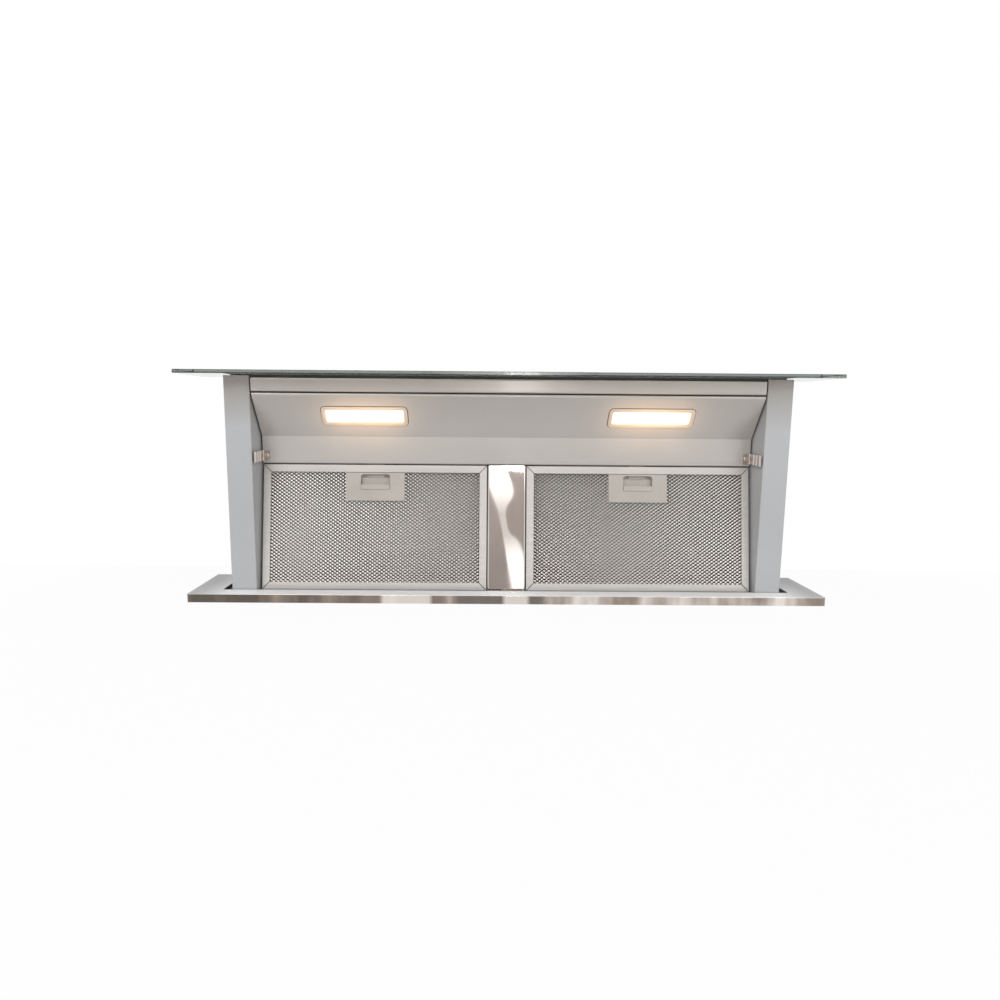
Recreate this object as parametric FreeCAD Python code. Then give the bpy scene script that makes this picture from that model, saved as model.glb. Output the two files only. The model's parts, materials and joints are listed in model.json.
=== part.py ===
# Downdraft range hood that rises out of a worktop slot, drawn raised.
# Millimetres. X runs to the right, Y to the back and Z up.
# The origin is the middle of the worktop flange, at the height of the worktop.

import FreeCAD
import Part
import math
import os

from FreeCAD import Vector

# Rising carriage
lift_travel = 298.0
carriage_width = 774.0          # over the outer faces of both columns
carriage_depth = 60.0
column_width = 35.0
column_wall = 1.2
column_edge_radius = 1.5
column_tail = 150.0             # length kept below the worktop when raised
column_top_gap = 1.2            # column to glass
carriage_sheet = 1.0            # fascia, lamp panel, back panel and sill
sheet_bend = 1.2                # inner radius of a fold
back_panel_tail = 60.0          # length kept below the worktop when raised
back_panel_flange = 14.0

# Worktop flange
flange_height = 12.0
flange_sheet = 1.0
flange_front_margin = 21.0      # slot edge to flange edge
flange_rear_margin = 14.4
flange_end_margin = 41.0
flange_corner_radius = 2.0
flange_edge_radius = 0.7
slot_gap = 1.3                  # carriage to slot, front and rear
rail_room = 12.0                # column to slot end
slot_lip = 6.0                  # depth of the folded slot edge
flange_seal_width = 8.0

# Glass top and its seal
glass_overhang = 5.0            # past the flange at each end
glass_depth = 100.0
glass_thickness = 5.0
glass_corner_radius = 3.0
glass_edge_chamfer = 0.6
closed_gap = 0.8                # glass to flange when lowered
seal_thickness = 4.0
seal_setback = 4.0              # behind the front and rear of the carriage
seal_end_setback = 8.5          # inside the outer faces of the columns
touch_board_length = 150.0
touch_board_depth = 36.0
touch_board_thickness = 1.6
touch_board_x = 0.0
touch_board_gap = 0.5

# Top fascia
fascia_height = 18.5
fascia_end_gap = 2.0
fascia_return = 9.0

# Lamp panel
panel_gap = 1.6                 # under the fascia
panel_end_gap = 2.5
recess_depth = 34.9             # lower band behind the column fronts
panel_lip = 3.6                 # upright edge above the slope
slope_height = 56.4
band_height = 39.0
panel_top_return = 11.0
panel_foot_return = 14.0
panel_bracket_x = 110.0
panel_bracket_height = 24.0
panel_bracket_tab = 14.0

# Lamps
lamp_end_margin = 92.0          # lamp to column
lamp_length = 121.0
lamp_height = 32.4
lamp_corner_radius = 7.5
lamp_cutout_radius = 3.5
lamp_window_radius = 2.5
lamp_drop = 16.1                # down the slope from its top
bezel_proud = 1.2
bezel_lip = 3.0                 # bezel overlap on the panel
bezel_wall = 2.8
bezel_depth = 4.0
lens_recess = 0.8               # lens face behind the panel face
lens_thickness = 2.0
lamp_gap = 0.3
lamp_module_depth = 12.0
lamp_fin_count = 9
lamp_fin_depth = 7.0
lamp_fin_gap = 6.0

# Filters
filter_top_gap = 1.5            # under the lamp panel
filter_end_gap = 3.3            # to the column
filter_side_gap = 1.2           # to the centre panel
filter_foot_setback = 9.5       # behind the column fronts
filter_head_setback = 0.8       # behind the lamp panel's band
filter_foot_drop = 2.6          # below the flange top
filter_thickness = 10.0
frame_width = 10.5
frame_sheet = 0.8
frame_corner_radius = 1.5
mitre_groove = 0.35
mesh_layer = 1.2
mesh_gap = 0.2
mesh_edge_cover = 9.0           # mesh held inside the frame

# Filter handles and latches
handle_width = 84.0
handle_height = 41.0
handle_depth = 9.0
handle_gap = 0.2
pocket_width = 42.0
pocket_height = 20.6
pocket_margin = 3.0             # below the top of the handle plate
pocket_corner_radius = 4.0
pocket_floor = 1.4
latch_travel = 4.0
latch_gap = 0.3
latch_thickness = 1.6
latch_bar_height = 6.8
latch_bar_depth = 1.0
tongue_width = 24.0
tongue_reach = 3.5              # past the filter frame
tongue_gap = 0.5

# Centre panel and sill
centre_panel_width = 54.6
centre_panel_flange = 9.0
sill_gap = 0.3
sill_front_setback = 1.0
sill_depth = 21.0
sill_skirt = 12.0
sill_stop_height = 1.8
sill_stop_gap = 0.4

# Spring clips
clip_sheet = 0.8
clip_height = 15.0
clip_foot = 8.5
clip_bend = 1.6
clip_end_gap = 2.2              # leaf to column
clip_straight = 6.0
clip_wave_count = 3
clip_wave_radius = 2.5
clip_wave_angle = 55.0
clip_roll_radius = 1.7
clip_roll_angle = 200.0
clip_drop = 20.5                # clip's top edge below the bend of the panel
clip_screw_radius = 1.5
clip_screw_length = 6.0
clip_screw_head_radius = 2.9
clip_screw_head_height = 1.9
clip_screw_slot_length = 3.2
clip_screw_slot_width = 1.0
screw_gap = 0.1

# Housing under the worktop
housing_sheet = 1.2
housing_gap = 0.5               # to the slot's folded edge
housing_foot_room = 100.0       # below the lowered columns
side_flange = 14.0
rail_width = 30.0
rail_sheet = 1.5
rail_slot = 14.0
rail_gap = 1.2                  # rail to column
rail_spare = 6.0                # rail past the lowered columns
shoe_height = 24.0
shoe_gap = 0.4
shoe_top_drop = 10.0
shoe_foot_rise = 5.0
housing_screw_count = 4
housing_screw_margin = 45.0
housing_screw_radius = 2.0
housing_screw_length = 6.0
housing_screw_head_radius = 4.0
housing_screw_head_height = 2.4
bracket_sheet = 2.0
bracket_height = 90.0
bracket_drop = 120.0            # bracket's top edge below the worktop
bracket_foot = 32.0
bracket_leg = 30.0
bracket_hole_radius = 3.0
bracket_hole_spacing = 50.0

# Lift actuator
tube_gap = 0.8                  # tube to back panel
rod_radius = 6.0
rod_bore_radius = 3.8
nut_length = 20.0               # narrow foot of the rod's bore
rod_end_cap = 15.0              # solid end of the rod above its bore
rod_head = 8.0                  # rod past its pin
rod_guide = 50.0                # rod kept in the tube when raised
rod_neck = 24.5                 # pin above the tube when lowered
rod_foot_gap = 1.5              # rod to gearbox when lowered
tube_radius = 10.0
tube_wall = 1.5
bush_height = 14.0              # closed end of the tube
bush_gap = 0.05
screw_radius = 3.0
screw_head_gap = 4.0
pin_radius = 3.0
pin_gap = 0.05
gearbox_width = 66.0
gearbox_depth = 29.0
gearbox_gap = 0.6               # to the housing's back panel
gearbox_height = 46.0
gearbox_corner_radius = 4.0
gearbox_lift = 30.0             # above the housing's bottom
base_pin_lift = 17.0
lug_width = 14.0
lug_radius = 8.0
ear_thickness = 3.0
ear_gap = 0.3
ear_radius = 8.0
actuator_motor_radius = 12.0
actuator_motor_length = 95.0
actuator_motor_x = 27.0

# Blower
blower_offset = 150.0           # fan axis left of the middle
blower_rise = 180.0             # fan axis above the housing's bottom
scroll_radius = 112.0           # at the tongue
scroll_step = 16.0
scroll_reach = 200.0            # fan axis to outlet
blower_depth = 162.0
blower_sheet = 1.2
inlet_radius = 80.0
wheel_radius = 98.0
wheel_inner_radius = 80.0
wheel_gap = 10.0                # to the inlet side of the casing
wheel_width = 118.0
wheel_disc_back = 70.0          # disc behind the inlet edge of the wheel
wheel_plate = 2.0
blade_count = 32
blade_thickness = 1.2
blade_angle = 32.0
blade_margin = 2.0              # blade to the edges of the rings
hub_radius = 14.0
hub_length = 24.0
shaft_radius = 4.0
shaft_gap = 0.02
shaft_hold = 20.0               # shaft kept in the motor
motor_radius = 46.0
motor_flange_radius = 58.0
motor_flange_thickness = 4.0
motor_hole_gap = 0.5            # motor to the cover's hole
motor_gap = 6.0                 # motor to wheel disc

# Outlet spigot and non-return flaps
spigot_radius = 75.0
spigot_wall = 2.0
spigot_length = 60.0
spigot_plate = 2.5
flap_pin_offset = 16.0          # pin past the spigot's plate
flap_pin_radius = 1.5
flap_gap = 1.2
flap_thickness = 1.2
flap_knuckle_radius = 3.2
flap_knuckle_gap = 0.4
flap_boss_length = 7.0
flap_seat_width = 5.0
flap_seat_thickness = 2.0
flap_seat_gap = 0.4

# Control box
control_box_end_margin = 76.7   # to the right end of the housing
control_box_drop = 170.0        # middle of the box below the worktop
control_box_length = 170.0
control_box_height = 110.0
control_box_depth = 46.0
control_box_wall = 2.0
lid_thickness = 2.5
board_margin = 10.0             # control board to the walls of its box
board_thickness = 1.6
board_lift = 5.0                # posts under the control board
board_post_radius = 3.0
capacitor_radius = 14.0
capacitor_length = 55.0
relay_size = 16.0
relay_gap = 4.0
relay_count = 4
terminal_length = 60.0
terminal_size = 12.0
gland_radius = 9.0
gland_thread_radius = 6.0
gland_bore_radius = 4.0
gland_length = 16.0
gland_hold = 5.0
gland_edge_radius = 2.5
gland_gap = 0.1

same_place = 1e-6               # points this close count as one

# Places across the hood
carriage_half = carriage_width / 2
column_inner = carriage_half - column_width
slot_half = carriage_half + rail_room
flange_half = slot_half + flange_end_margin
glass_half = flange_half + glass_overhang
panel_half = column_inner - panel_end_gap
lamp_x = column_inner - lamp_end_margin - lamp_length / 2
centre_half = centre_panel_width / 2
filter_inner = centre_half + filter_side_gap
filter_outer = column_inner - filter_end_gap
filter_mid = (filter_inner + filter_outer) / 2
housing_inner = slot_half + flange_sheet + housing_gap
housing_outer = housing_inner + housing_sheet
rail_inner = carriage_half + rail_gap

# Places from front to back
slot_depth = carriage_depth + 2 * slot_gap
flange_depth = flange_front_margin + slot_depth + flange_rear_margin
flange_front = -flange_depth / 2
flange_rear = flange_depth / 2
slot_front = flange_front + flange_front_margin
slot_rear = slot_front + slot_depth
carriage_front = slot_front + slot_gap
carriage_rear = carriage_front + carriage_depth
carriage_mid = (carriage_front + carriage_rear) / 2
back_panel_face = carriage_rear - carriage_sheet
band_face = carriage_front + recess_depth
band_back = band_face + carriage_sheet
housing_front_inner = slot_front - flange_sheet - housing_gap
housing_front_outer = housing_front_inner - housing_sheet
housing_rear_inner = slot_rear + flange_sheet + housing_gap
housing_rear_outer = housing_rear_inner + housing_sheet

# Heights
flange_under = flange_height - flange_sheet
glass_under = flange_height + closed_gap + lift_travel
column_top = glass_under - column_top_gap
fascia_top = glass_under - seal_thickness
fascia_foot = fascia_top - fascia_height
panel_top = fascia_foot - panel_gap
slope_top = panel_top - panel_lip
panel_bend = slope_top - slope_height
band_foot = panel_bend - band_height
filter_top = band_foot - filter_top_gap
filter_foot = flange_height - filter_foot_drop
housing_bottom = -(column_tail + lift_travel + housing_foot_room)
housing_floor = housing_bottom + housing_sheet
side_top = flange_height - slot_lip - housing_gap
rail_bottom = -(column_tail + lift_travel + rail_spare)

# Lean of the filters and of the sloping lamp panel face
filter_foot_y = carriage_front + filter_foot_setback
filter_head_y = band_face + filter_head_setback
filter_length = math.hypot(filter_head_y - filter_foot_y, filter_top - filter_foot)
filter_lean = math.degrees(math.atan2(filter_head_y - filter_foot_y, filter_top - filter_foot))
slope_length = math.hypot(recess_depth, slope_height)
slope_lean = -math.degrees(math.atan2(recess_depth, slope_height))
lamp_mid = slope_length - lamp_drop - lamp_height / 2
sill_top = filter_foot - filter_thickness * math.sin(math.radians(filter_lean)) - sill_gap

# Lift actuator places
actuator_y = back_panel_face - tube_gap - tube_radius
gearbox_rear = housing_rear_inner - gearbox_gap
gearbox_front = gearbox_rear - gearbox_depth
gearbox_foot = housing_floor + gearbox_lift
gearbox_top = gearbox_foot + gearbox_height
base_pin_z = housing_floor + base_pin_lift
tube_top = gearbox_top + rod_foot_gap + lift_travel + rod_guide
lift_pin_z = tube_top + lift_travel + rod_neck

# Blower places
blower_x = -blower_offset
blower_z = housing_bottom + blower_rise
blower_front = housing_front_outer - blower_depth
scroll_foot = blower_z - scroll_radius - 3 * scroll_step
outlet_x = blower_x + scroll_reach
outlet_y = (housing_front_outer + blower_front) / 2
outlet_z = (blower_z + scroll_foot) / 2
wheel_back = housing_front_outer - blower_sheet - wheel_gap
wheel_disc_y = wheel_back - wheel_disc_back
spigot_bore = spigot_radius - spigot_wall
flap_pin_x = outlet_x + spigot_plate + flap_pin_offset

# Control box places
control_box_x = housing_outer - control_box_end_margin - control_box_length / 2
control_box_z = -control_box_drop


# Shape helpers

def box(x0, x1, y0, y1, z0, z1):
    return Part.makeBox(x1 - x0, y1 - y0, z1 - z0, Vector(x0, y0, z0))


def rod(radius, start, end):
    return Part.makeCylinder(radius, (end - start).Length, start, end - start)


def mirrored(shape):
    return shape.mirror(Vector(0, 0, 0), Vector(1, 0, 0))


def lean(shape, foot_y, foot_z, degrees):
    """Leans a shape built upright at the origin backwards, and stands it on its foot."""
    turn = FreeCAD.Rotation(Vector(1, 0, 0), -degrees)
    placed = shape.copy()
    placed.Placement = FreeCAD.Placement(Vector(0, foot_y, foot_z), turn).multiply(placed.Placement)
    return placed


def on_filter(shape):
    """Stands a shape in the plane of the filters, its front face at y = 0."""
    return lean(shape, filter_foot_y, filter_foot, filter_lean)


def on_slope(shape):
    """Lays a shape on the sloping face of the lamp panel, that face at y = 0."""
    return lean(shape, band_face, panel_bend, slope_lean)


def upright_edges(shape):
    edges = []
    for edge in shape.Edges:
        run = edge.Vertexes[-1].Point - edge.Vertexes[0].Point
        if abs(run.x) < same_place and abs(run.y) < same_place:
            edges.append(edge)
    return edges


def rim_edges(shape, height):
    """Edges that lie flat at one height."""
    return [edge for edge in shape.Edges
            if abs(edge.BoundBox.ZMin - height) < same_place
            and abs(edge.BoundBox.ZMax - height) < same_place]


def rounded_block(x0, x1, y0, y1, z0, z1, radius):
    block = box(x0, x1, y0, y1, z0, z1)
    return block.makeFillet(radius, upright_edges(block))


def rounded_plate(x0, x1, z0, z1, radius, y0, y1):
    """Upright plate with rounded corners, from y0 in front to y1 behind."""
    flat = rounded_block(x0, x1, -z1, -z0, y0, y1, radius)
    flat.rotate(Vector(0, 0, 0), Vector(1, 0, 0), -90)
    return flat


def offset_points(points, distance):
    """Open chain of points moved to its left, with mitred corners."""
    lines = []
    for start, end in zip(points, points[1:]):
        length = math.hypot(end[0] - start[0], end[1] - start[1])
        along = ((end[0] - start[0]) / length, (end[1] - start[1]) / length)
        shift = (-along[1] * distance, along[0] * distance)
        lines.append((start, end, along, shift))
    moved = [(points[0][0] + lines[0][3][0], points[0][1] + lines[0][3][1])]
    for before, after in zip(lines, lines[1:]):
        cross = before[2][0] * after[2][1] - before[2][1] * after[2][0]
        gap_x = after[3][0] - before[3][0]
        gap_y = after[3][1] - before[3][1]
        slide = (gap_x * after[2][1] - gap_y * after[2][0]) / cross
        corner = before[1]
        moved.append((corner[0] + before[3][0] + slide * before[2][0],
                      corner[1] + before[3][1] + slide * before[2][1]))
    moved.append((points[-1][0] + lines[-1][3][0], points[-1][1] + lines[-1][3][1]))
    return moved


def corner_turns(points):
    turns = []
    for before, corner, after in zip(points, points[1:], points[2:]):
        turns.append((corner[0] - before[0]) * (after[1] - corner[1])
                     - (corner[1] - before[1]) * (after[0] - corner[0]))
    return turns


def rounded_chain(points, radii):
    """Lines through the points, with an arc of its own radius at each inner corner."""
    edges = []
    last = Vector(points[0][0], points[0][1], 0)
    for index, radius in enumerate(radii):
        corner = Vector(points[index + 1][0], points[index + 1][1], 0)
        before = Vector(points[index][0], points[index][1], 0) - corner
        after = Vector(points[index + 2][0], points[index + 2][1], 0) - corner
        before.normalize()
        after.normalize()
        half_angle = before.getAngle(after) / 2
        reach = radius / math.tan(half_angle)
        middle = before + after
        middle.normalize()
        arc_start = corner + before * reach
        arc_end = corner + after * reach
        arc_mid = corner + middle * (radius / math.sin(half_angle) - radius)
        edges.append(Part.makeLine(last, arc_start))
        edges.append(Part.Arc(arc_start, arc_mid, arc_end).toShape())
        last = arc_end
    edges.append(Part.makeLine(last, Vector(points[-1][0], points[-1][1], 0)))
    return edges


def folded(points, thickness, bend):
    """Face of a folded sheet. The points run along one side and the sheet lies to their left."""
    far_side = offset_points(points, thickness)
    turns = corner_turns(points)
    near_radii = [bend + thickness if turn > 0 else bend for turn in turns]
    far_radii = [bend if turn > 0 else bend + thickness for turn in turns]
    edges = rounded_chain(points, near_radii)
    edges.append(Part.makeLine(Vector(*points[-1], 0), Vector(*far_side[-1], 0)))
    edges += rounded_chain(far_side[::-1], far_radii[::-1])
    edges.append(Part.makeLine(Vector(*far_side[0], 0), Vector(*points[0], 0)))
    return Part.Face(Part.Wire(edges))


def sheet_along_x(points, thickness, bend, x0, x1):
    """Folded sheet with points given as (y, z), drawn out along X."""
    sheet = folded(points, thickness, bend).extrude(Vector(0, 0, x1 - x0))
    sheet.rotate(Vector(0, 0, 0), Vector(1, 1, 1), 120)
    sheet.translate(Vector(x0, 0, 0))
    return sheet


def sheet_along_z(points, thickness, bend, z0, z1):
    """Folded sheet with points given as (x, y), drawn out along Z."""
    sheet = folded(points, thickness, bend).extrude(Vector(0, 0, z1 - z0))
    sheet.translate(Vector(0, 0, z0))
    return sheet


# Worktop flange

def worktop_flange():
    tray = rounded_block(-flange_half, flange_half, flange_front, flange_rear, 0, flange_height,
                         flange_corner_radius)
    tray = tray.makeFillet(flange_edge_radius, rim_edges(tray, flange_height))
    hollow = box(-flange_half + flange_sheet, flange_half - flange_sheet,
                 flange_front + flange_sheet, flange_rear - flange_sheet, 0, flange_under)
    lip = box(-slot_half - flange_sheet, slot_half + flange_sheet,
              slot_front - flange_sheet, slot_rear + flange_sheet,
              flange_height - slot_lip, flange_height)
    slot = box(-slot_half, slot_half, slot_front, slot_rear, 0, flange_height)
    return tray.cut(hollow).fuse(lip).cut(slot).removeSplitter()


def flange_seal():
    half = flange_half - flange_sheet
    front = flange_front + flange_sheet
    rear = flange_rear - flange_sheet
    strip = box(-half, half, front, rear, 0, flange_under)
    middle = box(-half + flange_seal_width, half - flange_seal_width,
                 front + flange_seal_width, rear - flange_seal_width, 0, flange_under)
    return strip.cut(middle)


# Glass top, seal and touch board

def glass_top():
    plate = rounded_block(-glass_half, glass_half, flange_front, flange_front + glass_depth,
                          glass_under, glass_under + glass_thickness, glass_corner_radius)
    rims = rim_edges(plate, glass_under) + rim_edges(plate, glass_under + glass_thickness)
    return plate.makeChamfer(glass_edge_chamfer, rims)


def touch_board():
    return box(touch_board_x - touch_board_length / 2, touch_board_x + touch_board_length / 2,
               carriage_mid - touch_board_depth / 2, carriage_mid + touch_board_depth / 2,
               glass_under - touch_board_thickness, glass_under)


def glass_seal():
    front = carriage_front + seal_setback
    rear = carriage_rear - seal_setback
    half = carriage_half - seal_end_setback
    between = column_inner - fascia_end_gap
    over_columns = box(-half, half, front, rear, column_top, glass_under)
    on_fascia = box(-between, between, front, rear, fascia_top, column_top)
    window_half = touch_board_length / 2 + touch_board_gap
    window_reach = touch_board_depth / 2 + touch_board_gap
    window = box(touch_board_x - window_half, touch_board_x + window_half,
                 carriage_mid - window_reach, carriage_mid + window_reach, fascia_top, glass_under)
    return over_columns.fuse(on_fascia).cut(window).removeSplitter()


# Columns, back panel and fascia

def right_column():
    outer = rounded_block(column_inner, carriage_half, carriage_front, carriage_rear,
                          -column_tail, column_top, column_edge_radius)
    inner = box(column_inner + column_wall, carriage_half - column_wall,
                carriage_front + column_wall, carriage_rear - column_wall, -column_tail, column_top)
    return outer.cut(inner)


def carriage_back_panel():
    points = [(column_inner, back_panel_face - back_panel_flange), (column_inner, carriage_rear),
              (-column_inner, carriage_rear), (-column_inner, back_panel_face - back_panel_flange)]
    return sheet_along_z(points, carriage_sheet, sheet_bend,
                         -back_panel_tail, fascia_top - carriage_sheet)


def top_fascia():
    half = column_inner - fascia_end_gap
    points = [(carriage_rear, fascia_top), (carriage_front, fascia_top),
              (carriage_front, fascia_foot), (carriage_front + fascia_return, fascia_foot)]
    return sheet_along_x(points, carriage_sheet, sheet_bend, -half, half)


# Lamp panel and its brackets

def latch_slot():
    """Space that a latch tongue takes above the handle, with its gap all round."""
    back = handle_depth - pocket_floor
    front = back - latch_thickness - 2 * latch_gap
    half = tongue_width / 2 + tongue_gap
    return box(filter_mid - half, filter_mid + half, front, back,
               filter_length - frame_width - pocket_margin - pocket_corner_radius,
               filter_length + tongue_reach + tongue_gap)


def lamp_cutout():
    half = lamp_length / 2 - bezel_lip
    reach = lamp_height / 2 - bezel_lip
    return rounded_plate(lamp_x - half, lamp_x + half, lamp_mid - reach, lamp_mid + reach,
                         lamp_cutout_radius, -carriage_sheet, 2 * carriage_sheet)


def clip_screw_place():
    """Middle of the right clip's screw, on the face of the lower band."""
    x = column_inner - clip_end_gap - clip_sheet - clip_bend - clip_foot / 2
    return Vector(x, band_face, panel_bend - clip_drop - clip_height / 2)


def lamp_panel():
    points = [(carriage_front + panel_top_return, panel_top), (carriage_front, panel_top),
              (carriage_front, slope_top), (band_face, panel_bend), (band_face, band_foot),
              (band_face + panel_foot_return, band_foot)]
    sheet = sheet_along_x(points, carriage_sheet, sheet_bend, -panel_half, panel_half)
    screw_at = clip_screw_place()
    through = Vector(0, 3 * carriage_sheet, 0)
    screw_hole = rod(clip_screw_radius + screw_gap, screw_at - through, screw_at + through)
    right_cuts = [on_slope(lamp_cutout()), on_filter(latch_slot()), screw_hole]
    rod_notch = box(-tube_radius - tube_gap, tube_radius + tube_gap,
                    actuator_y - tube_radius - tube_gap, carriage_rear,
                    band_foot - carriage_sheet, band_foot + 2 * carriage_sheet)
    return sheet.cut(right_cuts + [mirrored(cut) for cut in right_cuts] + [rod_notch])


def panel_brackets():
    foot = band_foot + (band_height - panel_bracket_height) / 2
    rear = back_panel_face - carriage_sheet
    points = [(panel_bracket_x - panel_bracket_tab, band_back), (panel_bracket_x, band_back),
              (panel_bracket_x, rear), (panel_bracket_x + panel_bracket_tab, rear)]
    right = sheet_along_z(points, carriage_sheet, sheet_bend, foot, foot + panel_bracket_height)
    return Part.makeCompound([right, mirrored(right)])


# Lamps

def right_lamp_bezel():
    half = lamp_length / 2
    reach = lamp_height / 2
    rim = rounded_plate(lamp_x - half, lamp_x + half, lamp_mid - reach, lamp_mid + reach,
                        lamp_corner_radius, -bezel_proud, 0)
    inset = bezel_lip + lamp_gap
    skirt = rounded_plate(lamp_x - half + inset, lamp_x + half - inset,
                          lamp_mid - reach + inset, lamp_mid + reach - inset,
                          lamp_cutout_radius, 0, bezel_depth)
    inset += bezel_wall
    window = rounded_plate(lamp_x - half + inset, lamp_x + half - inset,
                           lamp_mid - reach + inset, lamp_mid + reach - inset,
                           lamp_window_radius, -2 * bezel_proud, 2 * bezel_depth)
    return on_slope(rim.fuse(skirt).cut(window).removeSplitter())


def right_lamp_lens():
    inset = bezel_lip + bezel_wall + 2 * lamp_gap
    half = lamp_length / 2 - inset
    reach = lamp_height / 2 - inset
    return on_slope(rounded_plate(lamp_x - half, lamp_x + half, lamp_mid - reach, lamp_mid + reach,
                                  lamp_window_radius - lamp_gap,
                                  lens_recess, lens_recess + lens_thickness))


def lamp_modules():
    half = lamp_length / 2 - bezel_lip
    reach = lamp_height / 2 - bezel_lip
    front = bezel_depth + lamp_gap
    back = front + lamp_module_depth
    block = box(lamp_x - half, lamp_x + half, front, back, lamp_mid - reach, lamp_mid + reach)
    pitch = 2 * half / (lamp_fin_count + 1)
    grooves = []
    for index in range(lamp_fin_count):
        x = lamp_x - half + pitch * (index + 1)
        grooves.append(box(x - lamp_fin_gap / 2, x + lamp_fin_gap / 2, back - lamp_fin_depth, back,
                           lamp_mid - reach, lamp_mid + reach))
    right = on_slope(block.cut(grooves))
    return Part.makeCompound([right, mirrored(right)])


# Filters

def right_filter_frame():
    frame = rounded_plate(filter_inner, filter_outer, 0, filter_length, frame_corner_radius,
                          0, filter_thickness)
    window = box(filter_inner + frame_width, filter_outer - frame_width, 0, filter_thickness,
                 frame_width, filter_length - frame_width)
    channel = box(filter_inner + frame_sheet, filter_outer - frame_sheet,
                  frame_sheet, filter_thickness - frame_sheet,
                  frame_sheet, filter_length - frame_sheet)
    mitres = []
    for x, across in ((filter_inner, 1), (filter_outer, -1)):
        for z, upward in ((0, 1), (filter_length, -1)):
            groove = box(-frame_width, 2 * frame_width, 0, mitre_groove,
                         -mitre_groove / 2, mitre_groove / 2)
            groove.rotate(Vector(0, 0, 0), Vector(0, 1, 0), -45 * upward)
            if across < 0:
                groove = mirrored(groove)
            groove.translate(Vector(x, 0, z))
            mitres.append(groove)
    return on_filter(frame.cut([window, channel, latch_slot()] + mitres))


def handle_space(gap):
    top = filter_length - frame_width
    return box(filter_mid - handle_width / 2 - gap, filter_mid + handle_width / 2 + gap,
               0, filter_thickness, top - handle_height - gap, filter_length)


def right_filter_mesh():
    """Front and rear layer of mesh, each against a leg of the frame."""
    inset = frame_width - mesh_edge_cover
    front = frame_sheet + mesh_gap
    rear = filter_thickness - front - mesh_layer
    layers = []
    for y in (front, rear):
        sheet = box(filter_inner + inset, filter_outer - inset, y, y + mesh_layer,
                    inset, filter_length - inset)
        layers.append(on_filter(sheet.cut(handle_space(handle_gap))))
    return Part.makeCompound(layers)


def pocket_top():
    return filter_length - frame_width - pocket_margin


def right_handle_plate():
    top = filter_length - frame_width - handle_gap
    plate = box(filter_mid - handle_width / 2, filter_mid + handle_width / 2, 0, handle_depth,
                filter_length - frame_width - handle_height, top)
    half = pocket_width / 2
    foot = pocket_top() - pocket_height
    floor = handle_depth - pocket_floor
    pocket = rounded_plate(filter_mid - half, filter_mid + half, foot, pocket_top(),
                           pocket_corner_radius, 0, floor)
    square_foot = box(filter_mid - half, filter_mid + half, 0, floor,
                      foot, pocket_top() - pocket_corner_radius)
    return on_filter(plate.cut([pocket, square_foot, latch_slot()]))


def right_filter_latch():
    half = pocket_width / 2 - latch_gap
    back = handle_depth - pocket_floor - latch_gap
    front = back - latch_thickness
    foot = pocket_top() - pocket_height + latch_travel + latch_gap
    shoulder = pocket_top() - pocket_corner_radius - latch_gap
    slider = box(filter_mid - half, filter_mid + half, front, back, foot, shoulder)
    tongue = box(filter_mid - tongue_width / 2, filter_mid + tongue_width / 2, front, back,
                 shoulder - latch_thickness, filter_length + tongue_reach)
    web = box(filter_mid - half, filter_mid + half, -latch_gap - latch_bar_depth, back,
              foot, foot + latch_thickness)
    bar = box(filter_mid - half, filter_mid + half, -latch_gap - latch_bar_depth, -latch_gap,
              foot + latch_thickness - latch_bar_height, foot + latch_thickness)
    return on_filter(slider.fuse([tongue, web, bar]).removeSplitter())


# Centre panel and sill

def centre_panel():
    points = [(-centre_half, centre_panel_flange), (-centre_half, 0),
              (centre_half, 0), (centre_half, centre_panel_flange)]
    return on_filter(sheet_along_z(points, carriage_sheet, sheet_bend, 0, filter_length))


def filter_sill():
    front = carriage_front + sill_front_setback
    points = [(front + sill_depth, sill_top - sill_skirt), (front + sill_depth, sill_top),
              (front, sill_top), (front, sill_top - sill_skirt)]
    sheet = sheet_along_x(points, carriage_sheet, sheet_bend, -column_inner, column_inner)
    stop_back = filter_foot_y - sill_stop_gap
    stop = box(-column_inner, column_inner, stop_back - carriage_sheet, stop_back,
               sill_top - carriage_sheet, sill_top + sill_stop_height)
    return sheet.fuse(stop).removeSplitter()


# Spring clips

def bend(radius, degrees):
    """Move along an arc, as its length and its turn to the left."""
    return radius * math.radians(abs(degrees)), degrees


def strip_end(x, y, heading, length, turn):
    """Place and heading after a straight run, or along an arc that turns by some degrees."""
    angle = math.radians(heading)
    if turn == 0:
        return x + length * math.cos(angle), y + length * math.sin(angle), heading
    radius = length / math.radians(turn)
    ahead = math.radians(heading + turn)
    return (x + radius * (math.sin(ahead) - math.sin(angle)),
            y - radius * (math.cos(ahead) - math.cos(angle)), heading + turn)


def strip_edge(x, y, heading, length, turn, offset):
    """One side of a run or arc, some way to the left of its middle line."""
    places = []
    for share in (0, 0.5, 1):
        at_x, at_y, at_heading = strip_end(x, y, heading, length * share, turn * share)
        side = math.radians(at_heading + 90)
        places.append(Vector(at_x + offset * math.cos(side), at_y + offset * math.sin(side), 0))
    if turn == 0:
        return Part.makeLine(places[0], places[2])
    return Part.Arc(*places).toShape()


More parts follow.
